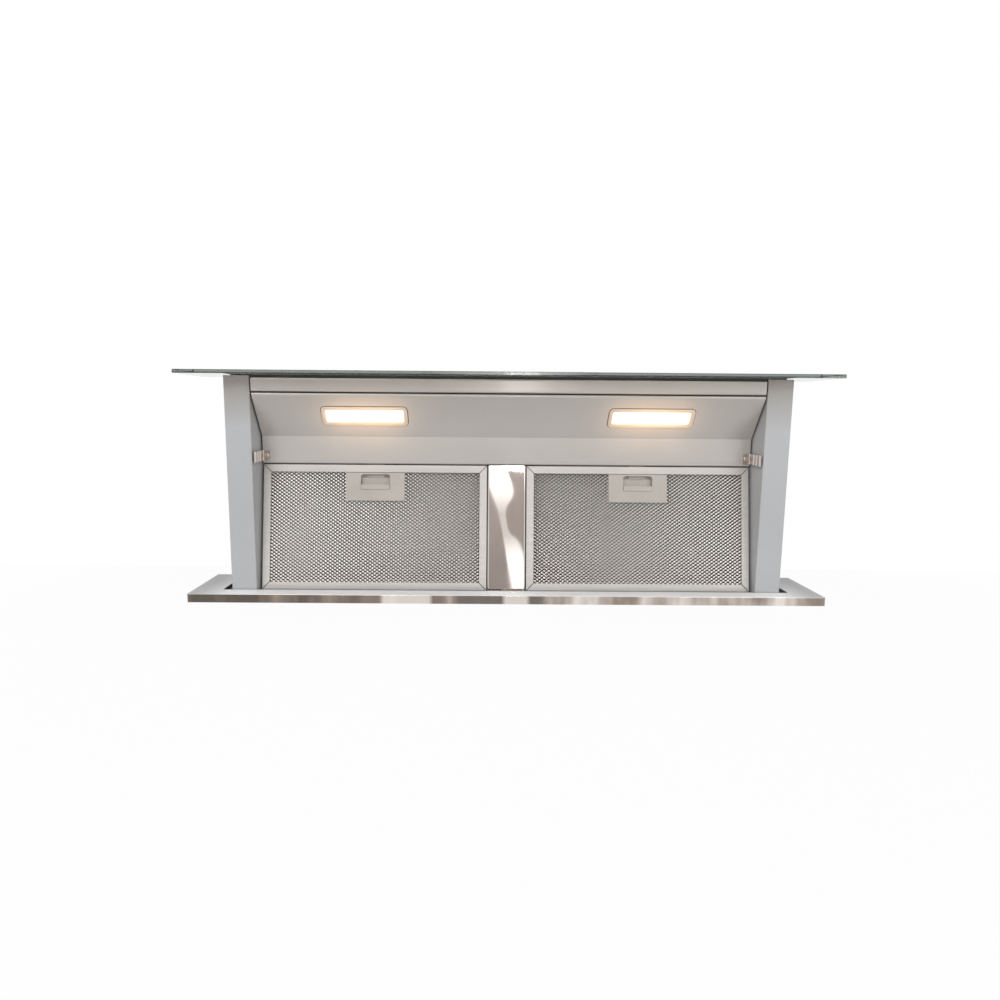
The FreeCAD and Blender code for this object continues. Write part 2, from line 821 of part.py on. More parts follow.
def strip_face(x, y, moves, thickness):
    """Face of a bent strip whose middle line starts at one point and heads along X."""
    heading = 0.0
    left = []
    right = []
    for length, turn in moves:
        left.append(strip_edge(x, y, heading, length, turn, thickness / 2))
        right.append(strip_edge(x, y, heading, length, turn, -thickness / 2))
        x, y, heading = strip_end(x, y, heading, length, turn)
    far_end = Part.makeLine(left[-1].Vertexes[-1].Point, right[-1].Vertexes[-1].Point)
    near_end = Part.makeLine(right[0].Vertexes[0].Point, left[0].Vertexes[0].Point)
    return Part.Face(Part.Wire(left + [far_end] + right[::-1] + [near_end]))


def right_spring_clip():
    """Bent leaf: a foot on the lower band, waves that reach forward and a rolled tip."""
    corner_radius = clip_bend + clip_sheet / 2
    leaf_x = column_inner - clip_end_gap - clip_sheet / 2
    wave = [bend(clip_wave_radius, -clip_wave_angle), bend(clip_wave_radius, 2 * clip_wave_angle),
            bend(clip_wave_radius, -clip_wave_angle)]
    moves = [(clip_foot, 0), bend(corner_radius, -90), (clip_straight, 0)] + clip_wave_count * wave
    moves.append(bend(clip_roll_radius, -clip_roll_angle))
    face = strip_face(leaf_x - corner_radius - clip_foot, band_face - clip_sheet / 2, moves, clip_sheet)
    leaf = face.extrude(Vector(0, 0, clip_height))
    leaf.translate(Vector(0, 0, panel_bend - clip_drop - clip_height))
    screw_at = clip_screw_place()
    through = Vector(0, 2 * clip_sheet, 0)
    return leaf.cut(rod(clip_screw_radius + screw_gap, screw_at - through, screw_at + through))


def clip_screws():
    at = clip_screw_place() - Vector(0, clip_sheet, 0)
    head = rod(clip_screw_head_radius, at, at - Vector(0, clip_screw_head_height, 0))
    head = head.makeFillet(clip_screw_head_height / 2, [head.Edges[0]])
    shank = rod(clip_screw_radius, at, at + Vector(0, clip_screw_length, 0))
    slots = []
    for width, height in ((clip_screw_slot_width, clip_screw_slot_length),
                          (clip_screw_slot_length, clip_screw_slot_width)):
        slots.append(box(at.x - width / 2, at.x + width / 2,
                         at.y - clip_screw_head_height, at.y - clip_screw_head_height / 2,
                         at.z - height / 2, at.z + height / 2))
    screw = head.fuse(shank).cut(slots)
    return Part.makeCompound([screw, mirrored(screw)])


# Housing panels

def housing_screw_places():
    """Points on the outer faces of the front and back panel, each with its way in."""
    top = side_top - housing_screw_margin
    foot = housing_floor + housing_screw_margin
    pitch = (top - foot) / (housing_screw_count - 1)
    across = housing_inner - side_flange / 2
    places = []
    for y, inward in ((housing_front_outer, 1), (housing_rear_outer, -1)):
        for x in (-across, across):
            for index in range(housing_screw_count):
                places.append((Vector(x, y, foot + pitch * index), Vector(0, inward, 0)))
    return places


def housing_screw_holes():
    radius = housing_screw_radius + screw_gap
    return [rod(radius, place - inward * housing_sheet, place + inward * 3 * housing_sheet)
            for place, inward in housing_screw_places()]


def housing_screws():
    screws = []
    for place, inward in housing_screw_places():
        head = rod(housing_screw_head_radius, place, place - inward * housing_screw_head_height)
        head = head.makeFillet(housing_screw_head_height / 2, [head.Edges[0]])
        screws.append(head.fuse(rod(housing_screw_radius, place, place + inward * housing_screw_length)))
    return Part.makeCompound(screws)


def housing_front_panel():
    panel = box(-housing_outer, housing_outer, housing_front_outer, housing_front_inner,
                housing_bottom, flange_under)
    inlet = rod(inlet_radius, Vector(blower_x, housing_front_outer, blower_z),
                Vector(blower_x, housing_front_inner, blower_z))
    return panel.cut([inlet] + housing_screw_holes())


def housing_back_panel():
    panel = box(-housing_outer, housing_outer, housing_rear_inner, housing_rear_outer,
                housing_bottom, flange_under)
    return panel.cut(housing_screw_holes())


def housing_bottom_panel():
    return box(-housing_outer, housing_outer, housing_front_inner, housing_rear_inner,
               housing_bottom, housing_floor)


def housing_right_panel():
    points = [(housing_inner - side_flange, housing_front_inner),
              (housing_outer, housing_front_inner), (housing_outer, housing_rear_inner),
              (housing_inner - side_flange, housing_rear_inner)]
    panel = sheet_along_z(points, housing_sheet, sheet_bend, housing_floor, side_top)
    return panel.cut(housing_screw_holes())


def guide_rails():
    half = rail_width / 2
    lip = rail_slot / 2
    points = [(rail_inner, carriage_mid - lip), (rail_inner, carriage_mid - half),
              (housing_inner, carriage_mid - half), (housing_inner, carriage_mid + half),
              (rail_inner, carriage_mid + half), (rail_inner, carriage_mid + lip)]
    right = sheet_along_z(points, rail_sheet, sheet_bend, rail_bottom, side_top)
    return Part.makeCompound([right, mirrored(right)])


def glide_shoes():
    neck_half = rail_slot / 2 - shoe_gap
    head_half = rail_width / 2 - rail_sheet - shoe_gap
    head_inner = rail_inner + rail_sheet + shoe_gap
    head_outer = housing_inner - rail_sheet - shoe_gap
    shoes = []
    for foot in (side_top - shoe_top_drop - shoe_height, -column_tail + shoe_foot_rise):
        neck = box(carriage_half, head_outer, carriage_mid - neck_half, carriage_mid + neck_half,
                   foot, foot + shoe_height)
        head = rounded_block(head_inner, head_outer, carriage_mid - head_half,
                             carriage_mid + head_half, foot, foot + shoe_height, sheet_bend)
        shoe = neck.fuse(head).removeSplitter()
        shoes += [shoe, mirrored(shoe)]
    return Part.makeCompound(shoes)


def cabinet_brackets():
    """Angle on each side of the housing, level with its back, with two screw holes."""
    foot = -bracket_drop - bracket_height
    points = [(housing_outer + bracket_foot, housing_rear_outer), (housing_outer, housing_rear_outer),
              (housing_outer, housing_rear_outer - bracket_leg)]
    right = sheet_along_z(points, bracket_sheet, sheet_bend, foot, foot + bracket_height)
    for step in (-0.5, 0.5):
        z = foot + bracket_height / 2 + step * bracket_hole_spacing
        x = housing_outer + bracket_sheet + (bracket_foot - bracket_sheet) / 2
        right = right.cut(rod(bracket_hole_radius, Vector(x, housing_rear_outer - 2 * bracket_sheet, z),
                              Vector(x, housing_rear_outer + bracket_sheet, z)))
    return Part.makeCompound([right, mirrored(right)])


# Lift actuator

def pin_ears(y0, y1, z0, z1, pin_height):
    """Pair of ears beside the lug, and the hole through them for a pin."""
    inner = lug_width / 2 + ear_gap
    outer = inner + ear_thickness
    ears = [box(low, high, y0, y1, z0, z1) for low, high in ((-outer, -inner), (inner, outer))]
    hole = rod(pin_radius + pin_gap, Vector(-outer, actuator_y, pin_height),
               Vector(outer, actuator_y, pin_height))
    return ears, hole


def actuator_base_bracket():
    ears, hole = pin_ears(actuator_y - ear_radius, actuator_y + ear_radius,
                          housing_floor, base_pin_z + ear_radius, base_pin_z)
    reach = lug_width / 2 + ear_gap + ear_thickness + lug_width
    plate = box(-reach, reach, actuator_y - ear_radius, actuator_y + ear_radius,
                housing_floor, housing_floor + ear_thickness)
    return plate.fuse(ears).cut(hole).removeSplitter()


def cross_pin(height):
    reach = lug_width / 2 + ear_gap + ear_thickness + pin_radius / 2
    return rod(pin_radius, Vector(-reach, actuator_y, height), Vector(reach, actuator_y, height))


def actuator_gearbox():
    middle = actuator_motor_x / 2
    case = rounded_block(middle - gearbox_width / 2, middle + gearbox_width / 2,
                         gearbox_front, gearbox_rear, gearbox_foot, gearbox_top,
                         gearbox_corner_radius)
    lug = box(-lug_width / 2, lug_width / 2, actuator_y - lug_radius, actuator_y + lug_radius,
              base_pin_z - lug_radius, gearbox_foot)
    lug = lug.makeFillet(lug_radius / 2, [edge for edge in rim_edges(lug, base_pin_z - lug_radius)
                                          if edge.BoundBox.XLength > edge.BoundBox.YLength])
    hole = rod(pin_radius + pin_gap, Vector(-lug_width, actuator_y, base_pin_z),
               Vector(lug_width, actuator_y, base_pin_z))
    bearing = rod(screw_radius + bush_gap, Vector(0, actuator_y, gearbox_top - gearbox_height / 2),
                  Vector(0, actuator_y, gearbox_top))
    return case.fuse(lug).cut([hole, bearing]).removeSplitter()


def actuator_motor():
    foot = Vector(actuator_motor_x, actuator_y, gearbox_top)
    can = rod(actuator_motor_radius, foot, foot + Vector(0, 0, actuator_motor_length))
    return can.makeChamfer(sheet_bend, rim_edges(can, gearbox_top + actuator_motor_length))


def actuator_tube():
    """Tube whose closed end guides the rod."""
    foot = Vector(0, actuator_y, gearbox_top)
    shoulder = Vector(0, actuator_y, tube_top - bush_height)
    top = Vector(0, actuator_y, tube_top)
    hollow = rod(tube_radius - tube_wall, foot, shoulder)
    return rod(tube_radius, foot, top).cut([hollow, rod(rod_radius + bush_gap, shoulder, top)])


def drive_screw():
    return rod(screw_radius, Vector(0, actuator_y, gearbox_top - gearbox_height / 2),
               Vector(0, actuator_y, tube_top - screw_head_gap))


def lift_rod():
    """Hollow rod with a nut at its foot for the drive screw, and a cross hole for its pin."""
    foot = Vector(0, actuator_y, tube_top - rod_guide)
    nut_end = foot + Vector(0, 0, nut_length)
    head = Vector(0, actuator_y, lift_pin_z + rod_head)
    bore_end = Vector(0, actuator_y, lift_pin_z - rod_end_cap)
    hole = rod(pin_radius + pin_gap, Vector(-rod_radius, actuator_y, lift_pin_z),
               Vector(rod_radius, actuator_y, lift_pin_z))
    nut = rod(screw_radius + bush_gap, foot, nut_end)
    return rod(rod_radius, foot, head).cut([nut, rod(rod_bore_radius, nut_end, bore_end), hole])


def lift_bracket():
    ears, hole = pin_ears(actuator_y - ear_radius, back_panel_face,
                          lift_pin_z - ear_radius, lift_pin_z + ear_radius, lift_pin_z)
    reach = lug_width / 2 + ear_gap + ear_thickness + lug_width
    plate = box(-reach, reach, back_panel_face - carriage_sheet, back_panel_face,
                lift_pin_z - ear_radius, lift_pin_z + ear_radius)
    return plate.fuse(ears).cut(hole).removeSplitter()


# Blower

def scroll_outline(inset, y):
    """Outline of the fan scroll: three quarter turns that widen, then the outlet."""
    first = scroll_radius - inset
    second = first + scroll_step
    third = second + scroll_step
    steps = [(0, 0, first), (0, -scroll_step, second), (scroll_step, -scroll_step, third)]
    edges = []
    for quarter, (across, down, radius) in enumerate(steps):
        arc = []
        for part_turn in (quarter, quarter + 0.5, quarter + 1):
            turn = part_turn * math.pi / 2
            arc.append(Vector(blower_x + across + radius * math.cos(turn), y,
                              blower_z + down + radius * math.sin(turn)))
        edges.append(Part.Arc(*arc).toShape())
    corners = [arc[2], Vector(outlet_x, y, arc[2].z), Vector(outlet_x, y, blower_z - inset),
               Vector(blower_x + first, y, blower_z - inset), Vector(blower_x + first, y, blower_z)]
    for start, end in zip(corners, corners[1:]):
        if (end - start).Length > same_place:
            edges.append(Part.makeLine(start, end))
    return Part.Face(Part.Wire(edges))


def blower_casing():
    depth = blower_depth - blower_sheet
    outer = scroll_outline(0, housing_front_outer).extrude(Vector(0, -depth, 0))
    inner = scroll_outline(blower_sheet, housing_front_outer - blower_sheet).extrude(Vector(0, -depth, 0))
    inlet = rod(inlet_radius, Vector(blower_x, housing_front_outer, blower_z),
                Vector(blower_x, housing_front_outer - blower_sheet, blower_z))
    return outer.cut([inner, inlet])


def blower_cover():
    plate = scroll_outline(0, blower_front + blower_sheet).extrude(Vector(0, -blower_sheet, 0))
    hole = rod(motor_radius + motor_hole_gap, Vector(blower_x, blower_front, blower_z),
               Vector(blower_x, blower_front + blower_sheet, blower_z))
    return plate.cut(hole)


def blower_motor():
    """Motor can inside the wheel, with a flange on the outside of the cover."""
    front = Vector(blower_x, blower_front - motor_flange_thickness, blower_z)
    seat = Vector(blower_x, blower_front, blower_z)
    end = Vector(blower_x, wheel_disc_y - wheel_plate - motor_gap, blower_z)
    bore = rod(shaft_radius + shaft_gap, end - Vector(0, shaft_hold, 0), end)
    return rod(motor_flange_radius, front, seat).fuse(rod(motor_radius, seat, end)).cut(bore).removeSplitter()


def motor_shaft():
    end = wheel_disc_y - wheel_plate - motor_gap
    return rod(shaft_radius, Vector(blower_x, end - shaft_hold, blower_z),
               Vector(blower_x, wheel_disc_y + hub_length, blower_z))


def fan_wheel():
    """Open drum of blades between two rings, on a disc and hub."""
    axis = Vector(blower_x, 0, blower_z)
    mid_radius = (wheel_radius + wheel_inner_radius) / 2
    front = wheel_back - wheel_width
    solids = [rod(wheel_radius, axis + Vector(0, wheel_disc_y - wheel_plate, 0),
                  axis + Vector(0, wheel_disc_y, 0)),
              rod(hub_radius, axis + Vector(0, wheel_disc_y - wheel_plate, 0),
                  axis + Vector(0, wheel_disc_y + hub_length, 0))]
    for end in (wheel_back - wheel_plate, front):
        low = axis + Vector(0, end, 0)
        high = axis + Vector(0, end + wheel_plate, 0)
        solids.append(rod(wheel_radius, low, high).cut(rod(wheel_inner_radius, low, high)))
    blade_reach = wheel_radius - wheel_inner_radius - 2 * blade_margin
    chord = blade_reach / math.cos(math.radians(blade_angle))
    for index in range(blade_count):
        blade = box(-chord / 2, chord / 2, front, wheel_back, -blade_thickness / 2, blade_thickness / 2)
        blade.rotate(Vector(0, 0, 0), Vector(0, 1, 0), blade_angle)
        blade.translate(Vector(mid_radius, 0, 0))
        blade.rotate(Vector(0, 0, 0), Vector(0, 1, 0), 360 * index / blade_count)
        blade.translate(axis)
        solids.append(blade)
    bore = rod(shaft_radius + shaft_gap, axis + Vector(0, front, 0), axis + Vector(0, wheel_back, 0))
    return solids[0].fuse(solids[1:]).cut(bore).removeSplitter()


# Outlet spigot and flaps

def along_outlet(x):
    return Vector(x, outlet_y, outlet_z)


def outlet_spigot():
    face = outlet_x + spigot_plate
    mouth = face + spigot_length
    plate = box(outlet_x, face, blower_front, housing_front_outer, scroll_foot, blower_z)
    collar = rod(spigot_radius, along_outlet(face), along_outlet(mouth))
    bore = rod(spigot_bore, along_outlet(outlet_x), along_outlet(mouth))
    shell = plate.fuse(collar).cut(bore).removeSplitter()
    seat_front = flap_pin_x - flap_thickness / 2 - flap_seat_gap
    seat = rod(spigot_bore, along_outlet(seat_front - flap_seat_thickness), along_outlet(seat_front))
    seat = seat.cut(rod(spigot_bore - flap_seat_width, along_outlet(outlet_x), along_outlet(mouth)))
    pin_at = along_outlet(flap_pin_x)
    reach = Vector(0, 0, spigot_bore)
    bosses = rod(flap_knuckle_radius, pin_at - reach, pin_at + reach)
    middle = Vector(0, 0, spigot_bore - flap_boss_length)
    bosses = bosses.cut(rod(flap_knuckle_radius, pin_at - middle, pin_at + middle))
    pin_hole = rod(flap_pin_radius + pin_gap, pin_at - reach, pin_at + reach)
    inside = rod(spigot_bore, along_outlet(outlet_x), along_outlet(mouth))
    return shell.fuse([seat, bosses.common(inside)]).cut(pin_hole.common(inside)).removeSplitter()


def damper_pin():
    reach = Vector(0, 0, spigot_bore - pin_gap)
    pin = rod(flap_pin_radius, along_outlet(flap_pin_x) - reach, along_outlet(flap_pin_x) + reach)
    return pin.common(rod(spigot_bore - pin_gap, along_outlet(outlet_x),
                          along_outlet(outlet_x + spigot_length)))


def knuckle_spans():
    """Heights on the pin: the rear flap holds both ends and the front flap the middle."""
    reach = spigot_bore - flap_boss_length - flap_knuckle_gap
    third = reach / 3
    rear = [(-reach, -third - flap_knuckle_gap), (third + flap_knuckle_gap, reach)]
    return rear, [(-third, third)]


def damper_flap(side, own_spans, other_spans):
    """Half disc on the given side of the pin (1 is the rear), with its own knuckles."""
    pin_at = along_outlet(flap_pin_x)
    radius = spigot_bore - flap_gap
    half_thick = Vector(flap_thickness / 2, 0, 0)
    disc = rod(radius, pin_at - half_thick, pin_at + half_thick)
    edge_y = sorted((pin_at.y, pin_at.y + side * radius))
    band = box(pin_at.x - flap_thickness, pin_at.x + flap_thickness, edge_y[0], edge_y[1],
               pin_at.z - radius, pin_at.z + radius)
    plate = disc.common(band)
    clear_radius = flap_knuckle_radius + flap_knuckle_gap
    clear_ends = [(-radius, -spigot_bore + flap_boss_length + flap_knuckle_gap),
                  (spigot_bore - flap_boss_length - flap_knuckle_gap, radius)]
    for low, high in other_spans + clear_ends:
        gap = Vector(0, 0, flap_knuckle_gap)
        plate = plate.cut(rod(clear_radius, pin_at + Vector(0, 0, low) - gap,
                              pin_at + Vector(0, 0, high) + gap))
    for low, high in own_spans:
        plate = plate.fuse(rod(flap_knuckle_radius, pin_at + Vector(0, 0, low),
                               pin_at + Vector(0, 0, high)))
    bore_reach = Vector(0, 0, radius)
    return plate.cut(rod(flap_pin_radius + pin_gap, pin_at - bore_reach, pin_at + bore_reach))


# Control box

def control_box():
    half = control_box_length / 2
    reach = control_box_height / 2
    back = housing_front_outer
    front = back - control_box_depth
    outer = box(control_box_x - half, control_box_x + half, front, back,
                control_box_z - reach, control_box_z + reach)
    wall = control_box_wall
    inner = box(control_box_x - half + wall, control_box_x + half - wall, front, back - wall,
                control_box_z - reach + wall, control_box_z + reach - wall)
    at = gland_place()
    hole = rod(gland_thread_radius + gland_gap, at - Vector(2 * wall, 0, 0), at + Vector(wall, 0, 0))
    return outer.cut([inner, hole])


def control_box_lid():
    half = control_box_length / 2
    reach = control_box_height / 2
    front = housing_front_outer - control_box_depth
    return rounded_plate(control_box_x - half, control_box_x + half, control_box_z - reach,
                         control_box_z + reach, control_box_wall, front - lid_thickness, front)


def control_board():
    """Circuit board on posts, with the motor's capacitor, a row of relays and a terminal strip."""
    half = control_box_length / 2 - control_box_wall - board_margin
    reach = control_box_height / 2 - control_box_wall - board_margin
    seat = housing_front_outer - control_box_wall
    back = seat - board_lift
    front = back - board_thickness
    left = control_box_x - half
    foot = control_box_z - reach
    top = control_box_z + reach
    solids = [box(left, left + 2 * half, front, back, foot, top)]
    inset = 2 * board_post_radius
    for x in (left + inset, left + 2 * half - inset):
        for z in (foot + inset, top - inset):
            solids.append(rod(board_post_radius, Vector(x, front, z), Vector(x, seat, z)))
    capacitor_y = front - capacitor_radius + board_thickness
    capacitor_z = top - capacitor_radius
    solids.append(rod(capacitor_radius, Vector(left + inset, capacitor_y, capacitor_z),
                      Vector(left + inset + capacitor_length, capacitor_y, capacitor_z)))
    for index in range(relay_count):
        x = left + 3 * inset + index * (relay_size + relay_gap)
        solids.append(box(x, x + relay_size, front - relay_size, front, foot, foot + relay_size))
    terminal_x = left + 2 * half - terminal_length
    solids.append(box(terminal_x, terminal_x + terminal_length, front - terminal_size, front,
                      control_box_z - terminal_size / 2, control_box_z + terminal_size / 2))
    return solids[0].fuse(solids[1:]).removeSplitter()


def gland_place():
    """Middle of the cable gland's seat, on the right face of the control box."""
    return Vector(control_box_x + control_box_length / 2,
                  housing_front_outer - control_box_depth / 2, control_box_z)


def cable_gland():
    at = gland_place()
    end = at + Vector(gland_length, 0, 0)
    start = at - Vector(control_box_wall + gland_hold, 0, 0)
    head = rod(gland_radius, at, end)
    head = head.makeFillet(gland_edge_radius, [head.Edges[0]])
    return head.fuse(rod(gland_thread_radius, start, at)).cut(rod(gland_bore_radius, start, end))


# One file for each named piece

rear_spans, front_spans = knuckle_spans()

pieces = {
    "worktop_flange": worktop_flange(),
    "flange_seal": flange_seal(),
    "glass_top": glass_top(),
    "glass_seal": glass_seal(),
    "touch_board": touch_board(),
    "carriage_back_panel": carriage_back_panel(),
    "top_fascia": top_fascia(),
    "lamp_panel": lamp_panel(),
    "panel_brackets": panel_brackets(),
    "lamp_modules": lamp_modules(),
    "centre_panel": centre_panel(),
    "filter_sill": filter_sill(),
    "clip_screws": clip_screws(),
    "guide_rails": guide_rails(),
    "glide_shoes": glide_shoes(),
    "housing_front_panel": housing_front_panel(),
    "housing_back_panel": housing_back_panel(),
    "housing_bottom_panel": housing_bottom_panel(),
    "housing_screws": housing_screws(),
    "cabinet_brackets": cabinet_brackets(),
    "actuator_base_bracket": actuator_base_bracket(),
    "actuator_base_pin": cross_pin(base_pin_z),
    "actuator_gearbox": actuator_gearbox(),
    "actuator_motor": actuator_motor(),
    "actuator_tube": actuator_tube(),
    "drive_screw": drive_screw(),
    "lift_rod": lift_rod(),
    "lift_bracket": lift_bracket(),
    "lift_pin": cross_pin(lift_pin_z),
    "blower_casing": blower_casing(),
    "blower_cover": blower_cover(),
    "blower_motor": blower_motor(),
    "motor_shaft": motor_shaft(),
    "fan_wheel": fan_wheel(),
    "outlet_spigot": outlet_spigot(),
    "damper_pin": damper_pin(),
    "rear_damper_flap": damper_flap(1, rear_spans, front_spans),
    "front_damper_flap": damper_flap(-1, front_spans, rear_spans),
    "control_box": control_box(),
    "control_box_lid": control_box_lid(),
    "control_board": control_board(),
    "cable_gland": cable_gland(),
}

sided_pieces = {
    "column": right_column(),
    "lamp_bezel": right_lamp_bezel(),
    "lamp_lens": right_lamp_lens(),
    "filter_frame": right_filter_frame(),
    "filter_mesh": right_filter_mesh(),
    "handle_plate": right_handle_plate(),
    "filter_latch": right_filter_latch(),
    "spring_clip": right_spring_clip(),
}
for name, shape in sided_pieces.items():
    pieces["right_" + name] = shape
    pieces["left_" + name] = mirrored(shape)
pieces["housing_right_panel"] = housing_right_panel()
pieces["housing_left_panel"] = mirrored(housing_right_panel())

os.makedirs("parts", exist_ok=True)
for name, shape in pieces.items():
    shape.exportStep("parts/" + name + ".step")
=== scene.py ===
"""Dresses a downdraft range hood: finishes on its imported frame, and new meshes for its finer pieces."""

import functools
import json
import math

import bmesh
import bpy
from bmesh.types import BMEdge, BMFace, BMVert
from bpy.props import FloatProperty, FloatVectorProperty, PointerProperty
from mathutils import Matrix, Vector

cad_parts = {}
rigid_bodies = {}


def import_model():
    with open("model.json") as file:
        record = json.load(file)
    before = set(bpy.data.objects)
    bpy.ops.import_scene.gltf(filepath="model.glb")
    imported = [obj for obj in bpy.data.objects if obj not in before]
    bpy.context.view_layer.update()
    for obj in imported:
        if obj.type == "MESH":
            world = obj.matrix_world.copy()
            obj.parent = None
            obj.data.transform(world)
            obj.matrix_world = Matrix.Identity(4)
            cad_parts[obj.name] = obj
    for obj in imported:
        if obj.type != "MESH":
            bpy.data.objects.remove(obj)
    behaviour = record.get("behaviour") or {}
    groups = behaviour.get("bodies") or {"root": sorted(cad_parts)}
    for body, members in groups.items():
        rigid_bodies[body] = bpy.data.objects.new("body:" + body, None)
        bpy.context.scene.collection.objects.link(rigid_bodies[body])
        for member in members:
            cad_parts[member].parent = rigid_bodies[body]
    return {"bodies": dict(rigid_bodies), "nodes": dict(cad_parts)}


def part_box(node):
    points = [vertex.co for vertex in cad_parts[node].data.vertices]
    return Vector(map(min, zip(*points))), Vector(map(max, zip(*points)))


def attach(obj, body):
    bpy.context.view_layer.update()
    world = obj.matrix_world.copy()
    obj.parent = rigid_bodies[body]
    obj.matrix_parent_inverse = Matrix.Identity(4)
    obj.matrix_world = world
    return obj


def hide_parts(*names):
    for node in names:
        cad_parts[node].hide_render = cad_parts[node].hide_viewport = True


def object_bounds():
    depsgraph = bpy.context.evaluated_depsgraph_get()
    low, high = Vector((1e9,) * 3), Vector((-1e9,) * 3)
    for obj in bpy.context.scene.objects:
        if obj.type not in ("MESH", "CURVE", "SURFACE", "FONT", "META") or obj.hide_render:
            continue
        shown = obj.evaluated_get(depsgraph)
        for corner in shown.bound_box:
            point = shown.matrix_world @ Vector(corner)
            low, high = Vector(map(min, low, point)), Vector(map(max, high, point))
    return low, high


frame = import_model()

bl_info = {
    "name": "Downdraft range hood",
    "version": (1, 0, 0),
    "blender": (4, 5, 0),
    "location": "3D View > Sidebar > Hood",
    "description": "Finishes and fine pieces of a rising range hood, on its packed frame",
    "category": "Object",
}

CAD_BOX = [list(corner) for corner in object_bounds()]
SIDES = {"right": 1.0, "left": -1.0}
ACROSS, BACK, UP = Vector((1, 0, 0)), Vector((0, 1, 0)), Vector((0, 0, 1))
SAME_PLACE = 1e-6                   # metres within which two places are one
MERGE_WITHIN = 1e-7                 # metres within which loose vertices are joined
CORNER_STEPS = 6                    # faces round a wide corner
EDGE_STEPS = 3                      # faces round a softened edge
SHARP_ANGLE = math.radians(40)      # edges that turn by more are softened
SMOOTH_ANGLE = math.radians(35)     # edges that turn by less are shaded as one surface
LEAN_PASSES = 20                    # far more than the filters' lean needs to settle


# Settings that a user would change

def length(name, description, millimetres):
    return FloatProperty(name=name, description=description, default=millimetres / 1000,
                         unit="LENGTH", precision=5)


def angle(name, description, degrees):
    return FloatProperty(name=name, description=description, default=math.radians(degrees),
                         subtype="ANGLE")


def colour(name, description, value):
    return FloatVectorProperty(name=name, description=description, default=value, subtype="COLOR",
                               min=0.0, max=1.0)


def amount(name, description, value):
    return FloatProperty(name=name, description=description, default=value, min=0.0)


class FilterSettings(bpy.types.PropertyGroup):
    thickness: length("Thickness", "Front to back of a filter", 10)
    frame_width: length("Frame width", "Width of the frame's front leg", 10.5)
    frame_sheet: length("Frame sheet", "Sheet thickness of the frame", 0.8)
    fold_radius: length("Fold radius", "Round of the frame's outer edges", 0.9)
    mitre_width: length("Mitre width", "Width of the line across each frame corner", 1)
    mitre_depth: length("Mitre depth", "Depth of the line across each frame corner", 0.9)
    pitch: length("Strand pitch", "Bond to bond along one strand of the mesh", 6.7)
    row: length("Row height", "Height from one strand to the next", 2.45)
    bond: length("Bond length", "Length over which two strands are one", 0.8)
    rise: length("Rise", "Height that a strand climbs between two bonds", 1.8)
    sway: length("Sway", "Way that a strand comes forward as it climbs", 2.2)
    strand_width: length("Strand width", "Width of the slit strip", 1)
    strand_sheet: length("Strand thickness", "Thickness of the slit strip", 0.3)
    strand_tilt: angle("Strand tilt", "Tilt of the strands after stretching", 15)
    net_gap: length("Net gap", "Net behind the frame's front sheet", 0.2)
    net_tuck: length("Net tuck", "Net past the inner edge of the frame's front leg", 2)


class HandleSettings(bpy.types.PropertyGroup):
    drop: length("Drop", "Gap under the frame's top bar", 0.7)
    height: length("Height", "Height of the plate", 40.3)
    depth: length("Depth", "Front to back of the plate", 9)
    pocket_width: length("Pocket width", "Width of the finger pocket", 42)
    pocket_height: length("Pocket height", "Height of the finger pocket", 20.6)
    pocket_margin: length("Pocket margin", "Pocket below the plate's top", 2.3)
    pocket_depth: length("Pocket depth", "Depth of the finger pocket", 7.6)
    pocket_corner: length("Pocket corner", "Round of the pocket's top corners", 4)
    edge: length("Edge", "Round of the moulded edges", 0.7)
    latch_gap: length("Latch gap", "Latch to pocket", 0.3)
    latch_travel: length("Latch travel", "Way that a latch slides down", 4)
    latch_wall: length("Latch wall", "Thickness of the latch's walls", 1.6)
    bar_height: length("Bar height", "Height of the latch's finger bar", 6.8)
    bar_depth: length("Bar depth", "Thickness of the latch's finger bar", 1)
    tongue_width: length("Tongue width", "Width of the latch's tongue", 24)
    tongue_reach: length("Tongue reach", "Tongue past the top of the filter", 3.5)


class LampSettings(bpy.types.PropertyGroup):
    slope: angle("Slope", "Lean of the lamp panel's sloping face", 31.75)
    width: length("Width", "Length of a lamp rim", 121)
    height: length("Height", "Height of a lamp rim", 32.4)
    corner: length("Corner", "Round of the rim's corners", 7.5)
    proud: length("Proud", "Rim in front of the panel", 1.2)
    rim: length("Rim", "Width of the rim's face", 6.1)
    # The lip's dark colour is painted shade of the gap round the rim
    lip: length("Lip", "Width of the dark seal that shows round the rim", 0.8)
    lip_height: length("Lip height", "Dark seal in front of the panel", 0.4)
    depth: length("Depth", "Rim behind the panel", 4)
    lens_recess: length("Lens recess", "Lens behind the panel's face", 0.8)
    lens_thickness: length("Lens thickness", "Thickness of the lens", 2)
    lens_gap: length("Lens gap", "Lens to rim", 0.3)
    lens_corner: length("Lens corner", "Round of the lens's corners", 2.2)
    edge: length("Edge", "Round of the rim's edges", 0.3)
    light: colour("Light", "Colour of the lit lens", (1.0, 0.86, 0.66))
    strength: amount("Strength", "Brightness of the lit lens", 1.5)
    glow: colour("Glow", "Colour of the glow on the panel", (1.0, 0.67, 0.39))
    halo: amount("Halo", "Power of the glow round each lens, in watts", 0.034)


